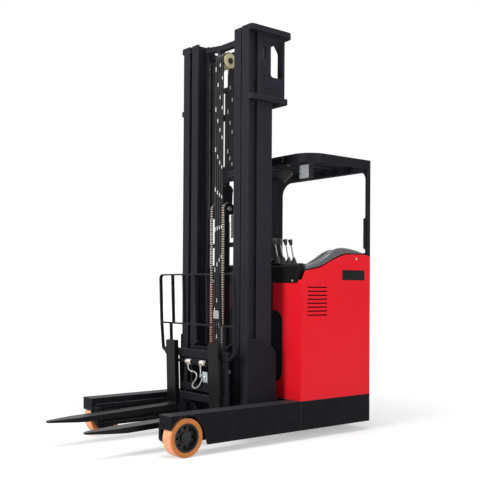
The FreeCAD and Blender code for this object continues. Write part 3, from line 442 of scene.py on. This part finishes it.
# Console and controls
# Moulded black plastic with a fine leather-like grain, for the console, the
# seat's box, the steering wheel and the grab handle.
grained = Finish("grained_black_plastic", IOR=1.48, Specular_IOR_Level=0.1)
soft = grained.softened(0.006)
pebble = grained.cells(330.0)
drift = grained.cloud(5.0, 4.0)
grained.set(Base_Color=drift.tint(grey(0.006), grey(0.012)), Roughness=0.3 + drift * 0.15,
            Normal=grained.bump(pebble, 0.18, 0.0006, soft))
dress(grained, "console", "seat_box", "steering_wheel", "grab_handle")


# Control levers
# Four bent steel rods out of ribbed rubber boots, each with a flared black knob.
# They are one CAD node, so the bare rods are told from the rest by height.
boot_top, knob_foot = 1.4175, 1.5095
lever = Finish("lever_boot_rod_and_knob", IOR=1.5)
soft = lever.softened(0.0015)
height = lever.axis(2)
rod = (height > boot_top) * (height < knob_foot)
grain = lever.cloud(90.0, 3.0)
lever.set(Base_Color=rod.tint(grain.tint(grey(0.01), grey(0.02)), grey(0.24)), Metallic=rod,
          Roughness=0.5 - rod * 0.28 - (height > knob_foot) * 0.2, Normal=soft)
dress(lever, "control_levers")


# Armrest and side cover
# A rolled vinyl edge follows the red panel's crest; inside it lies a darker,
# sunk mat. One moulding, screwed down from inside.
vinyl = Finish("charcoal_vinyl", IOR=1.5, Specular_IOR_Level=0.4, Coat_Roughness=0.1)
wrinkle = vinyl.cloud(60.0, 5.0, 0.6)
pore = vinyl.cells(520.0)
vinyl.set(Base_Color=wrinkle.tint(grey(0.045, -0.1), grey(0.07, -0.1)),
          Roughness=0.22 + wrinkle * 0.1, Coat_Weight=0.6,
          Normal=vinyl.bump(pore * 0.4 + wrinkle, 0.12, 0.0008))
mat = Finish("ribbed_mat", IOR=1.48)
rib = mat.node("TexWave", {"bands_direction": "X"}, {"Vector": mat.place, "Scale": 42.0}, 1)
mat.set(Base_Color=rib.tint(grey(0.008), grey(0.02)), Roughness=0.6 + rib * 0.1,
        Normal=mat.bump(rib, 0.5, 0.002))


def along(points, x):
    """Smooth height at x through (x, height) marks."""
    for i in range(len(points) - 1):
        (xa, za), (xb, zb) = points[i], points[i + 1]
        if xa <= x <= xb:
            t = (x - xa) / (xb - xa)
            before = points[max(i - 1, 0)]
            after = points[min(i + 2, len(points) - 1)]
            ma = (zb - before[1]) / (xb - before[0]) * (xb - xa)
            mb = (after[1] - za) / (after[0] - xa) * (xb - xa)
            h = t * t * (3 - 2 * t)
            return za * (1 - h) + zb * h + ma * (t ** 3 - 2 * t * t + t) + mb * (t ** 3 - t * t)
    return points[-1][1] if x > points[-1][0] else points[0][1]


pad_rear, pad_long, pad_steps = -1.142, 0.64, 32
crest = [(pad_rear, 1.457), (-1.04, 1.483), (-0.893, 1.494), (-0.79, 1.462), (-0.70, 1.413), (-0.60, 1.365),
         (-0.502, 1.342)]
seam = [(-1.148, 1.4435), (-0.92, 1.438), (-0.85, 1.418), (-0.786, 1.392), (-0.70, 1.352), (-0.637, 1.331),
        (-0.50, 1.306)]
bm = bmesh.new()
rows = []
for x in (pad_rear + pad_long * i / pad_steps for i in range(pad_steps + 1)):
    top, low_edge = along(crest, x), along(seam, x)
    rise = max(top - low_edge, 0.012)
    ring = [(0.604, low_edge), (0.6075, low_edge + rise * 0.35), (0.603, low_edge + rise * 0.72),
            (0.588, top - rise * 0.06), (0.566, top), (0.544, top - 0.006), (0.532, top - 0.017),
            (0.524, top - 0.021), (0.486, top - 0.021), (0.478, top - 0.017), (0.472, top - 0.012),
            (0.4645, top - 0.018), (0.4625, low_edge - 0.02), (0.4625, low_edge - 0.038),
            (0.5655, low_edge - 0.038), (0.5655, low_edge)]
    rows.append([bm.verts.new((x, y, z)) for y, z in ring])
mat_strip = 7
n = len(rows[0])
for a, b in zip(rows, rows[1:]):
    for i in range(n):
        j = (i + 1) % n
        bm.faces.new((a[i], b[i], b[j], a[j])).material_index = int(i == mat_strip)
bm.faces.new(rows[0])
bm.faces.new(list(reversed(rows[-1])))
armrest = piece("armrest_pad", bm, vinyl, "chassis", 60.0)
armrest.data.materials.append(mat.material)
rounder = armrest.modifiers.new("round", "SUBSURF")
rounder.levels = rounder.render_levels = 1
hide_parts("armrest_cover")


# Seat
# Foam cushion and back under black vinyl, each with two sewn channels. The seat
# stands on its box, with its back along the left panel.
seat_vinyl = Finish("seat_vinyl", IOR=1.48)
fold = seat_vinyl.cloud(34.0, 5.0, 0.6)
pore = seat_vinyl.cells(420.0)
seat_vinyl.set(Base_Color=fold.tint(grey(0.012), grey(0.024)), Roughness=0.42 + fold * 0.12,
               Normal=seat_vinyl.bump(pore * 0.5 + fold, 0.2, 0.001))


channels = (-0.4, 0.4)


def cushion(name, low, high, crown, axis):
    """A crowned pad inside a box, with sewn channels pressed into its face."""
    lo, hi = Vector(low), Vector(high)
    mid, half = (lo + hi) / 2, (hi - lo) / 2
    others = [i for i in range(3) if i != axis]
    power = 6.0
    bm = bmesh.new()
    bmesh.ops.create_cube(bm, size=2.0)
    bmesh.ops.subdivide_edges(bm, edges=bm.edges[:], cuts=23, use_grid_fill=True)
    for v in bm.verts:
        size = sum(abs(c) ** power for c in v.co) ** (1 / power)
        q = v.co / max(size, 1e-6) * max(abs(c) for c in v.co)
        fall = (1 - q[others[0]] ** 4) * (1 - q[others[1]] ** 4)
        s = [q[i] * half[i] for i in range(3)]
        s[axis] = q[axis] * (half[axis] - crown * (1 - fall))
        if q[axis] > 0.5 or axis == 1 and q[axis] < -0.5:
            for c in channels:
                d = (q[others[0]] - c) * half[others[0]]
                s[axis] -= math.copysign(0.007 * math.exp(-(d / 0.006) ** 2), q[axis]) * fall
        for i in others:
            s[i] -= 0.004 * q[i] * q[axis] ** 2
        v.co = mid + Vector(s)
    obj = piece(name, bm, seat_vinyl, "chassis", 80.0)
    return obj


seat_lo, seat_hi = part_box("seat")
trim = 0.004
pan = cushion("seat_cushion", (seat_lo.x + trim, seat_lo.y + trim, seat_lo.z + 0.001),
              (seat_hi.x - trim, seat_hi.y - 0.092, seat_lo.z + 0.118), 0.03, 2)
squab = cushion("seat_back_pad", (seat_lo.x + trim, seat_hi.y - 0.088, seat_lo.z + trim),
                (seat_hi.x - trim, seat_hi.y - 0.002, seat_hi.z - trim), 0.02, 1)
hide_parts("seat")
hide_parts("seat")


# Work lamp and mirror
# A square silver work lamp under the guard's front left corner, and a small
# satin plate on a ball stem beside it.
silver = Finish("stippled_silver", IOR=1.5)
dimple = silver.cells(140.0, "SMOOTH_F1")
shade = silver.cloud(26.0, 4.0)
pits = dimple.within(0.1, 0.6) * 0.7 + shade * 0.4
silver.set(Base_Color=pits.tint(grey(0.75, -0.05), grey(0.16)), Roughness=0.28 + shade * 0.15,
           Normal=silver.bump(dimple, 0.6, 0.003))
lamp_shell = enamel("lamp_shell", 0.014, 0.024, 0.4)
dress(lamp_shell, "work_lamp")
lamp_lo, lamp_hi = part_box("work_lamp")
face_x, face_y, face_z = lamp_lo.x + 0.0412, (lamp_lo.y + lamp_hi.y) / 2, lamp_lo.z + 0.06
face_thick = 0.002
bm = bmesh.new()
square = [(face_x, face_y + u, face_z + v) for u, v in rounded(0.105, 0.105, 0.006)]
slab(bm, square, front, face_thick, 0.0006)
turned(bm, (face_x + face_thick, face_y, face_z), front,
       [(0.040, 0), (0.038, 0.0016), (0.030, 0.0002), (0.012, 0.0012)], 28)
piece("lamp_reflector", bm, silver, "chassis")
mirror = Finish("bright_plate", IOR=1.5, Specular_IOR_Level=0.3)
shade = mirror.cloud(18.0, 4.0)
soft = mirror.softened(0.002)
mirror.set(Base_Color=shade.tint(grey(0.02), grey(0.075)), Roughness=0.22 + shade * 0.2, Normal=soft)
dress(mirror, "mirror_plate")


# Lift rods and hose pulley
# Ground and hard chromed steel rods that rise out of the lift cylinders, and the
# pulley that is turned from cream nylon.
chrome = Finish("hard_chrome", Metallic=1.0)
film = chrome.cloud(70.0, 3.0)
chrome.set(Base_Color=film.tint(grey(0.36), grey(0.52)), Roughness=0.12 + film * 0.12)
dress(chrome, "lift_rod_left", "lift_rod_right")
nylon = Finish("cream_nylon", IOR=1.5, Subsurface_Weight=0.15, Subsurface_Scale=0.004)
grime = nylon.cloud(30.0, 5.0, 0.65)
nylon.set(Base_Color=grime.within(0.35, 0.75).tint((0.74, 0.70, 0.43, 1), (0.62, 0.56, 0.32, 1)),
          Roughness=0.36 + grime * 0.15, Normal=nylon.bump(grime, 0.08, 0.0006))
dress(nylon, "hose_pulley")


# Leaf chains
# Two leaf chains, each of laced steel plates on riveted pins. They run from their
# anchor on the inner mast over the crosshead's wheels down to the carriage. On the
# truck the front run gets shorter as the carriage rises; here it is one fixed piece riding on the
# crosshead.
chain_steel = Finish("oiled_chain_steel", Metallic=0.85)
oil = chain_steel.cloud(110.0, 4.0)
pitch_m = 0.01905
chain_low = 0.6903
carriage_travel = 1.85
# painted highlight and shade: bright bands round each pin and dark bands between, set by height along the
# chain
step = (chain_steel.axis(2) - (chain_low + 0.1 * pitch_m)) * (1 / pitch_m)
phase = chain_steel.node("Math", {"operation": "FRACT"}, {0: step + 0.25})
painted_bead_highlight = (phase < 0.46) * (0.55 + oil * 0.6)
chain_steel.set(Base_Color=painted_bead_highlight.tint((0.05, 0.045, 0.04, 1), (0.86, 0.78, 0.66, 1)),
                Roughness=0.3 + oil * 0.25)
mast_top = 3.165
wheel_x, wheel_y, wheel_z = -0.133, 0.075, mast_top * 0.5656
chain_r, link_round = 0.0458, 0.0053
chain_back = wheel_z - 0.2637
wrap = math.pi * chain_r
front_run, back_run = wheel_z - chain_low, wheel_z - chain_back


def chain_point(s):
    """Place on the chain's line, s metres from the carriage's end."""
    if s <= front_run:
        return Vector((wheel_x + chain_r, 0, chain_low + s))
    if s <= front_run + wrap:
        a = (s - front_run) / chain_r
        return Vector((wheel_x + chain_r * math.cos(a), 0, wheel_z + chain_r * math.sin(a)))
    return Vector((wheel_x - chain_r, 0, wheel_z - (s - front_run - wrap)))


def links(bm, first, last, y):
    """Laced plates and pins between two places on the chain's line."""
    for i in range(first, last):
        a = chain_point((i + 0.1) * pitch_m)
        b = chain_point((i + 1.1) * pitch_m)
        way = (b - a).normalized()
        side_way = Vector((way.z, 0, -way.x))
        outline = []
        for centre, start in ((b, -40), (a, 140)):
            for k in range(8):
                t = math.radians(start + 260 * k / 7)
                around = side_way * (link_round * math.cos(t)) + way * (link_round * math.sin(t))
                outline.append(centre + around)
        offsets = (-0.0085, -0.0013, 0.0059) if i % 2 else (-0.0120, -0.0049, 0.0023, 0.0094)
        for dy in offsets:
            slab(bm, [(p.x, y + dy, p.z) for p in outline], left, 0.0026)
        turned(bm, (a.x, y - 0.0126, a.z), left, [(0.0027, 0), (0.0027, 0.0252)], 8)


total = int((front_run + wrap + back_run) / pitch_m - 1.4)
turn_in = int(front_run / pitch_m)
turn_out = int((front_run + wrap) / pitch_m) + 1
for hand, sign in hands:
    y = sign * wheel_y
    bm = bmesh.new()
    links(bm, 0, turn_in - 1, y)
    run = piece("chain_front_" + hand, bm, chain_steel, "chain_crosshead")
    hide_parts("lift_chain_" + hand)
    top = (turn_in - 0.9) * pitch_m - 0.008
    kept = (top - carriage_travel / 2) / top
    chain_low + top
    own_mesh(run)
    bm = bmesh.new()
    links(bm, turn_in - 1, turn_out, y)
    piece("chain_wrap_" + hand, bm, chain_steel, "chain_crosshead")
    bm = bmesh.new()
    links(bm, turn_out, total, y)
    run = piece("chain_back_" + hand, bm, chain_steel, None)
    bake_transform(run)


# Mast hoses
# Four black rubber hoses in a row, held to the tie behind by a bolted steel block,
# over the nylon pulley and down to the carriage. Short white dashes are printed
# on them.
hose_rubber = Finish("printed_hose_rubber", IOR=1.5, Specular_IOR_Level=0.2)
height = hose_rubber.axis(2)
lane = (hose_rubber.axis(1) + 0.056) * (1 / 0.028)
number = hose_rubber.node("Math", {"operation": "FLOOR"}, {0: lane})
beat = hose_rubber.node("Math", {"operation": "FRACT"}, {0: height * (3.1 + number * 0.37) + number * 0.37})
dash = beat < 0.11
across = lane - number
toward = (across > 0.42) * (across < 0.72) * (hose_rubber.axis(0, hose_rubber.facing) > 0.1)
weave = hose_rubber.cloud(240.0, 3.0)
hose_rubber.set(Base_Color=(dash * toward).tint(weave.tint(grey(0.012), grey(0.03)), grey(0.62)),
                Roughness=0.42 + weave * 0.2, Normal=hose_rubber.bump(weave, 0.3, 0.0006))


def tube(bm, path, radius, sides=14):
    """A closed tube along smooth points."""
    rings = []
    across = None
    for i, p in enumerate(path):
        way = (path[min(i + 1, len(path) - 1)] - path[max(i - 1, 0)]).normalized()
        across = way.orthogonal() if across is None else across - way * across.dot(way)
        across.normalize()
        other = way.cross(across)
        ring = []
        for k in range(sides):
            a = 2 * math.pi * k / sides
            ring.append(bm.verts.new(p + (across * math.cos(a) + other * math.sin(a)) * radius))
        rings.append(ring)
    for a, b in zip(rings, rings[1:]):
        for k in range(sides):
            j = (k + 1) % sides
            bm.faces.new((a[k], a[j], b[j], b[k]))
    bm.faces.new(list(reversed(rings[0])))
    bm.faces.new(rings[-1])


pulley_x, pulley_z, hose_bend = -0.163, 2.984, 0.062
hose_radius, hose_end = 0.009, 2.043
hose_rows = [0.028 * (i - 1.5) for i in range(4)]
hose_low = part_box("mast_hoses")[0].z
drop = pulley_z - hose_low
front_x = pulley_x + hose_bend
bm = bmesh.new()
for y in hose_rows:
    steps = [Vector((front_x, y, hose_low + drop * i / 40)) for i in range(41)]
    tube(bm, steps, hose_radius)
foot = [(front_x - 0.014, u, hose_low + 0.025 + v) for u, v in rounded(0.10, 0.03, 0.006)]
slab(bm, foot, front, 0.027, 0.002)
run = piece("hoses_front", bm, hose_rubber, "inner_mast", 50.0)
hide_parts("mast_hoses")
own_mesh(run)
bm = bmesh.new()
for y in hose_rows:
    steps = []
    for i in range(17):
        a = math.pi * i / 16
        steps.append(Vector((pulley_x + hose_bend * math.cos(a), y, pulley_z + hose_bend * math.sin(a))))
    for i in range(1, 13):
        steps.append(Vector((pulley_x - hose_bend, y, pulley_z - (pulley_z - hose_end) * i / 12)))
    tube(bm, steps, hose_radius)
piece("hoses_back", bm, hose_rubber, "inner_mast", 50.0)

clamp_x, clamp_z, clamp_thick = -0.247, 2.088, 0.034
bm = bmesh.new()
slab(bm, [(clamp_x, u, clamp_z + v) for u, v in rounded(0.10, 0.05, 0.008)], front, clamp_thick, 0.003)
for y in (-0.03, 0.03):
    hexagon(bm, (clamp_x + clamp_thick, y, clamp_z), front, 0.013, 0.006)
piece("hose_clamp", bm, blacking, "inner_mast")


# Guard plates and spiral cable
# Thin blackened sheets on small brackets, screwed to the inner uprights beside and
# behind the hoses. The right one carries a cable in a wound plastic guard.
spiral = Finish("spiral_guard_plastic", IOR=1.5, Specular_IOR_Level=0.3)
groove = spiral.node("Math", {"operation": "SINE"}, {0: spiral.axis(2) * 420.0}).within(-1.0, 1.0)
spiral.set(Base_Color=groove.tint(grey(0.004), grey(0.05)), Roughness=0.4,
           Normal=spiral.bump(groove, 0.4, 0.002))
cable_x, cable_y = -0.186, -0.241
wound, wound_points, wound_turn = 0.0105, 960, 0.55
bm = bmesh.new()
steps = []
for i in range(wound_points):
    a = i * wound_turn
    steps.append(Vector((cable_x + wound * math.cos(a), cable_y + wound * math.sin(a),
                         1.74 + 1.285 * i / (wound_points - 1))))
tube(bm, steps, 0.0042, 6)
tube(bm, [Vector((cable_x, cable_y, 1.735 + 1.295 * i / 26)) for i in range(27)], 0.0098, 10)
piece("spiral_cable", bm, spiral, "inner_mast", 70.0)

beside = (-0.2035, 0.148, 0.262, 1.73, 3.035)
behind_ties = (-0.2728, 0.086, 0.150, 2.04, 2.805)
sheet_thick = 0.0016
bracket_x, bracket_y, strap_x = -0.2505, 0.2535, -0.2025
left_brackets, right_brackets = (2.30,), (1.80, 2.30, 2.64, 2.94)
bm = bmesh.new()
for sign, heights in ((-1, right_brackets), (1, left_brackets)):
    for x, inner, outer, low, high in (beside, behind_ties):
        outline = [(x, sign * y, z) for y, z in ((outer, low), (inner, low), (inner, high), (outer, high))]
        slab(bm, outline, front, sheet_thick, 0.0004)
    for z in heights:
        slab(bm, [(bracket_x, sign * bracket_y + u, z + v) for u, v in rounded(0.020, 0.024, 0.003)],
             front, 0.048)
for z in right_brackets:
    slab(bm, [(strap_x, cable_y + u, z + v) for u, v in rounded(0.034, 0.012, 0.003)], front, 0.0325, 0.002)
piece("mast_guard_plates", bm, blacking, "inner_mast")


# Hose clamp plates
# Two zinc plated steel plates grip the hoses' front strands on the lift carriage,
# drawn together by two hexagon bolts.
strap_rear, strap_front, strap_z = -0.1145, -0.0895, 0.948
strap_thick, strap_y, bolt_rise = 0.0035, -0.001, 0.018
bm = bmesh.new()
for x in (strap_front, strap_rear):
    slab(bm, [(x, strap_y + u, strap_z + v) for u, v in rounded(0.090, 0.064, 0.004)], front,
         strap_thick, 0.0008)
for z in (strap_z - bolt_rise, strap_z + bolt_rise):
    turned(bm, (strap_rear, 0, z), front, [(0.004, 0), (0.004, 0.028)], 10)
    hexagon(bm, (strap_front + strap_thick, 0, z), front, 0.011, 0.005)
piece("hose_clamp_plate", bm, zinc, "lift_carriage")


# Crosshead and pulley fittings
# Bright turned hubs and nuts on the chain wheels' axle, and the bolt that holds
# the hose pulley on its stub axle.
hub_y, nut_y, pulley_side = 0.099, 0.109, 0.058
bm = bmesh.new()
for _, sign in hands:
    way = (0, sign, 0)
    turned(bm, (wheel_x, sign * hub_y, wheel_z), way,
           [(0.020, 0), (0.019, 0.003), (0.0145, 0.0035), (0.0145, 0.008)], 24)
    turned(bm, (wheel_x, sign * nut_y, wheel_z), way, [(0.011, -0.002), (0.011, 0.001), (0.008, 0.002)], 20)
piece("chain_wheel_hubs", bm, zinc, "chain_crosshead")
bm = bmesh.new()
turned(bm, (pulley_x, pulley_side, pulley_z), left, [(0.024, -0.001), (0.024, 0.0035), (0.022, 0.0045)], 24)
hexagon(bm, (pulley_x, pulley_side + 0.0035, pulley_z), left, 0.020, 0.008)
piece("pulley_bolt", bm, blacking, "inner_mast")


# Lift cylinders
# A blackened steel gland nut is screwed onto each cylinder's top, round the rod.
# Four low studs on its rim take the spanner.
gland_x, gland_y, gland_z = -0.236, 0.356, 2.545
rim, stud_rise = 0.0415, 0.015
bm = bmesh.new()
for _, sign in hands:
    y = sign * gland_y
    turned(bm, (gland_x, y, gland_z), upward,
           [(0.0385, 0), (0.042, 0.003), (0.042, 0.03), (0.038, 0.036), (0.0275, 0.037)], 32)
    for k in range(4):
        a = math.radians(45 + 90 * k)
        at = (gland_x + rim * math.cos(a), y + rim * math.sin(a), gland_z + stud_rise)
        turned(bm, at, (math.cos(a), math.sin(a), 0), [(0.005, 0), (0.005, 0.0012), (0.003, 0.0015)], 10)
piece("gland_nuts", bm, blacking, "reach_carriage")


# Bracket slot
# A dark pressed cover closes the small upright slot of each mast bracket from
# inside; it is held by the bracket's own edge.
slot_x, slot_y, slot_z = -0.210, 0.4085, 2.9805
bm = bmesh.new()
for _, sign in hands:
    slab(bm, [(slot_x + u, sign * slot_y, slot_z + v) for u, v in rounded(0.048, 0.106, 0.006)],
         (0, -sign, 0), 0.003)
piece("bracket_slot_covers", bm, blacking, "reach_carriage")


# Carriage bolts
# Zinc plated hexagon bolts on thick turned washers, two on each side, that hold
# the guide rollers' plates to the carriage.
plate_x, plate_y, washer_thick = -0.03, 0.232, 0.004
bm = bmesh.new()
for _, sign in hands:
    way = (0, sign, 0)
    for z in (0.638, 0.512):
        turned(bm, (plate_x, sign * plate_y, z), way,
               [(0.019, -0.001), (0.019, washer_thick - 0.001), (0.017, washer_thick)], 24)
        hexagon(bm, (plate_x, sign * (plate_y + washer_thick), z), way, 0.018, 0.008)
piece("carriage_bolts", bm, zinc, "lift_carriage")


# Side shift cylinder
# A short double-ended steel cylinder between the forks, with plain film bands
# glued round it, screwed glands and fittings, two braided hoses and a valve block.
tip_angle = math.radians(2.0)
pivot = Vector((0.050, 0.0, 0.310))


def tipped(x, y, z):
    """A point drawn upright, carried to the carriage's tilted stance."""
    d = Vector((x, y, z)) - pivot
    c, s = math.cos(tip_angle), math.sin(tip_angle)
    return pivot + Vector((d.x * c + d.z * s, d.y, d.z * c - d.x * s))


white_band = Finish("white_band_film", IOR=1.45)
scuff = white_band.cloud(60.0, 4.0)
white_band.set(Base_Color=scuff.tint(grey(0.72), grey(0.82)), Roughness=0.3 + scuff * 0.2)
yellow_dot = Finish("yellow_patch_film", IOR=1.45)
scuff = yellow_dot.cloud(60.0, 4.0)
yellow_dot.set(Base_Color=scuff.tint((0.75, 0.42, 0.03, 1), (0.85, 0.52, 0.05, 1)),
               Roughness=0.3 + scuff * 0.2)
shift_x, shift_z = 0.099, 0.580
bm = bmesh.new()
for a, b in ((-0.130, -0.066), (0.052, 0.106)):
    turned(bm, tipped(shift_x, a, shift_z), left,
           [(0.0202, 0), (0.0208, 0.001), (0.0208, b - a - 0.001), (0.0202, b - a)], 32)
piece("shift_bands", bm, white_band, "tilt_frame")
bm = bmesh.new()
for a in (-0.112, 0.062):
    corner = []
    for dy in (0, 0.028):
        for k in range(6):
            t = math.radians(-46 + 44 * k / 5)
            p = tipped(shift_x, a + dy, shift_z) + Vector((math.cos(t), 0, math.sin(t))) * 0.0212
            corner.append(bm.verts.new(p))
    for k in range(5):
        bm.faces.new((corner[k], corner[k + 1], corner[k + 7], corner[k + 6]))
bmesh.ops.solidify(bm, geom=bm.faces[:], thickness=0.0004)
piece("shift_band_patches", bm, yellow_dot, "tilt_frame")
bm = bmesh.new()
for a, sign in ((0.138, 1), (-0.138, -1)):
    turned(bm, tipped(shift_x, a - sign * 0.022, shift_z), (0, sign, 0),
           [(0.0205, 0), (0.0235, 0.001), (0.0235, 0.014), (0.0215, 0.016)], 28)
piece("shift_glands", bm, zinc, "tilt_frame")


def spline(points, steps=10):
    """Points on a smooth line through the given ones."""
    pts = [Vector(p) for p in points]
    out = []
    for i in range(len(pts) - 1):
        p0, p1 = pts[max(i - 1, 0)], pts[i]
        p2, p3 = pts[i + 1], pts[min(i + 2, len(pts) - 1)]
        for k in range(steps):
            t = k / steps
            out.append(0.5 * ((2 * p1) + (p2 - p0) * t + (2 * p0 - 5 * p1 + 4 * p2 - p3) * t * t
                              + (3 * p1 - p0 - 3 * p2 + p3) * t ** 3))
    out.append(pts[-1])
    return out


braid = Finish("silver_braided_hose", Metallic=0.7)
plait = braid.cells(520.0)
braid.set(Base_Color=plait.tint(grey(0.55), grey(0.30)), Roughness=0.34 + plait * 0.2,
          Normal=braid.bump(plait, 0.4, 0.0008))
braid_radius = 0.0062
bm = bmesh.new()
tube(bm, spline([tipped(0.099, -0.113, 0.561), tipped(0.100, -0.113, 0.530), tipped(0.101, -0.098, 0.512),
                 tipped(0.102, -0.06, 0.505), tipped(0.104, -0.015, 0.500), tipped(0.106, 0.008, 0.478),
                 tipped(0.107, -0.006, 0.446), tipped(0.108, -0.044, 0.412), tipped(0.108, -0.050, 0.388),
                 tipped(0.107, -0.020, 0.376), tipped(0.106, 0.026, 0.394), tipped(0.105, 0.058, 0.430),
                 tipped(0.100, 0.074, 0.455)]), braid_radius, 12)
tube(bm, spline([tipped(0.099, 0.052, 0.561), tipped(0.101, 0.052, 0.530), tipped(0.103, 0.056, 0.500),
                 tipped(0.104, 0.050, 0.470), tipped(0.102, 0.074, 0.486)]), braid_radius, 12)
piece("shift_hoses", bm, braid, "tilt_frame", 60.0)
bm = bmesh.new()
for y in (-0.113, 0.052):
    turned(bm, tipped(shift_x, y, 0.564), (0, 0, -1),
           [(0.011, -0.003), (0.011, 0.008), (0.008, 0.009), (0.008, 0.02)], 6)
turned(bm, tipped(0.102, -0.062, 0.505), (0, 1, 0), [(0.009, -0.012), (0.009, 0.006), (0.007, 0.008)], 6)
for z in (0.455, 0.486):
    turned(bm, tipped(0.100, 0.073, z), (0, -1, 0), [(0.009, -0.001), (0.009, 0.008), (0.007, 0.012)], 6)
piece("shift_fittings", bm, zinc, "tilt_frame")
alloy = Finish("valve_block_alloy", Metallic=0.75)
shade = alloy.cloud(40.0, 4.0)
alloy.set(Base_Color=shade.tint((0.42, 0.47, 0.5, 1), (0.66, 0.70, 0.72, 1)), Roughness=0.32 + shade * 0.2)
valve_x, valve_y, valve_z, valve_thick = 0.0965, 0.1055, 0.4725, 0.004
outer_x = valve_x + valve_thick
bm = bmesh.new()
face = [tipped(valve_x, valve_y + u, valve_z + v) for u, v in rounded(0.061, 0.081, 0.004)]
slab(bm, face, tipped(1, 0, 0) - tipped(0, 0, 0), valve_thick, 0.001)
for u in (-0.02, 0.02):
    for v in (-0.028, 0.028):
        socket_head(bm, tipped(outer_x, valve_y + u, valve_z + v), front, 0.0045, 0.004)
turned(bm, tipped(outer_x, valve_y, valve_z), front,
       [(0.014, -0.001), (0.014, 0.010), (0.011, 0.013), (0.006, 0.014)], 20)
piece("valve_face", bm, alloy, "tilt_frame")


# Studio
# A pale paper floor and large soft lights. The far background is plain white to
# the camera and in reflections, and dim as a light.
bm = bmesh.new()
bmesh.ops.create_grid(bm, x_segments=8, y_segments=8, size=40.0)
mesh = bpy.data.meshes.new("floor")
bm.to_mesh(mesh)
bm.free()
floor = bpy.data.objects.new("floor", mesh)
bpy.context.collection.objects.link(floor)
floor.location.z = -0.0006
paper = Finish("pale_paper", Roughness=0.9, IOR=1.2, Emission_Strength=1.0)
seen = paper.node("LightPath", {}, {}, "Is Camera Ray")
mirrored = paper.node("LightPath", {}, {}, "Is Glossy Ray")
span = paper.node("VectorMath", {"operation": "LENGTH"}, {0: paper.place}, "Value")
glow = (0.42 + span.within(2.2, 6.5) * 0.58) * paper.wire.maths("MAXIMUM", seen, mirrored)
paper.set(Base_Color=paper.cloud(3.0).tint(grey(0.62), grey(0.66)),
          Emission_Color=glow.tint(grey(0.0), grey(1.0)))
mesh.materials.append(paper.material)

world = bpy.data.worlds.new("studio")
bpy.context.scene.world = world
world.use_nodes = True
sky = Wire(world.node_tree)
plain, glossy, through = (sky.node("LightPath", {}, {}, "Is " + ray + " Ray")
                          for ray in ("Camera", "Glossy", "Transmission"))
white = sky.maths("MAXIMUM", sky.maths("MAXIMUM", plain, glossy), through)
backdrop = world.node_tree.nodes["Background"]
sky.join(backdrop.inputs["Color"], (1.0, 1.0, 1.0, 1.0))
sky.join(backdrop.inputs["Strength"], 0.26 + white * 0.74)


def soft_light(name, at, aim, size, power):
    lamp = bpy.data.lights.new(name, "AREA")
    lamp.shape = "RECTANGLE"
    lamp.size, lamp.size_y = size
    lamp.energy = power
    obj = bpy.data.objects.new(name, lamp)
    bpy.context.collection.objects.link(obj)
    facing = (Vector(aim) - Vector(at)).to_track_quat("-Z", "Y").to_matrix().to_4x4()
    obj.matrix_world = Matrix.Translation(at) @ facing


soft_light("front_bank", (5.6, 0.9, 2.4), (0.0, 0.2, 1.2), (1.8, 3.2), 250.0)
soft_light("left_bank", (-0.8, 5.6, 2.4), (-0.6, 0.0, 1.1), (2.8, 2.6), 118.0)
soft_light("overhead", (0.2, 0.4, 5.8), (0.0, 0.0, 0.6), (4.0, 4.0), 240.0)
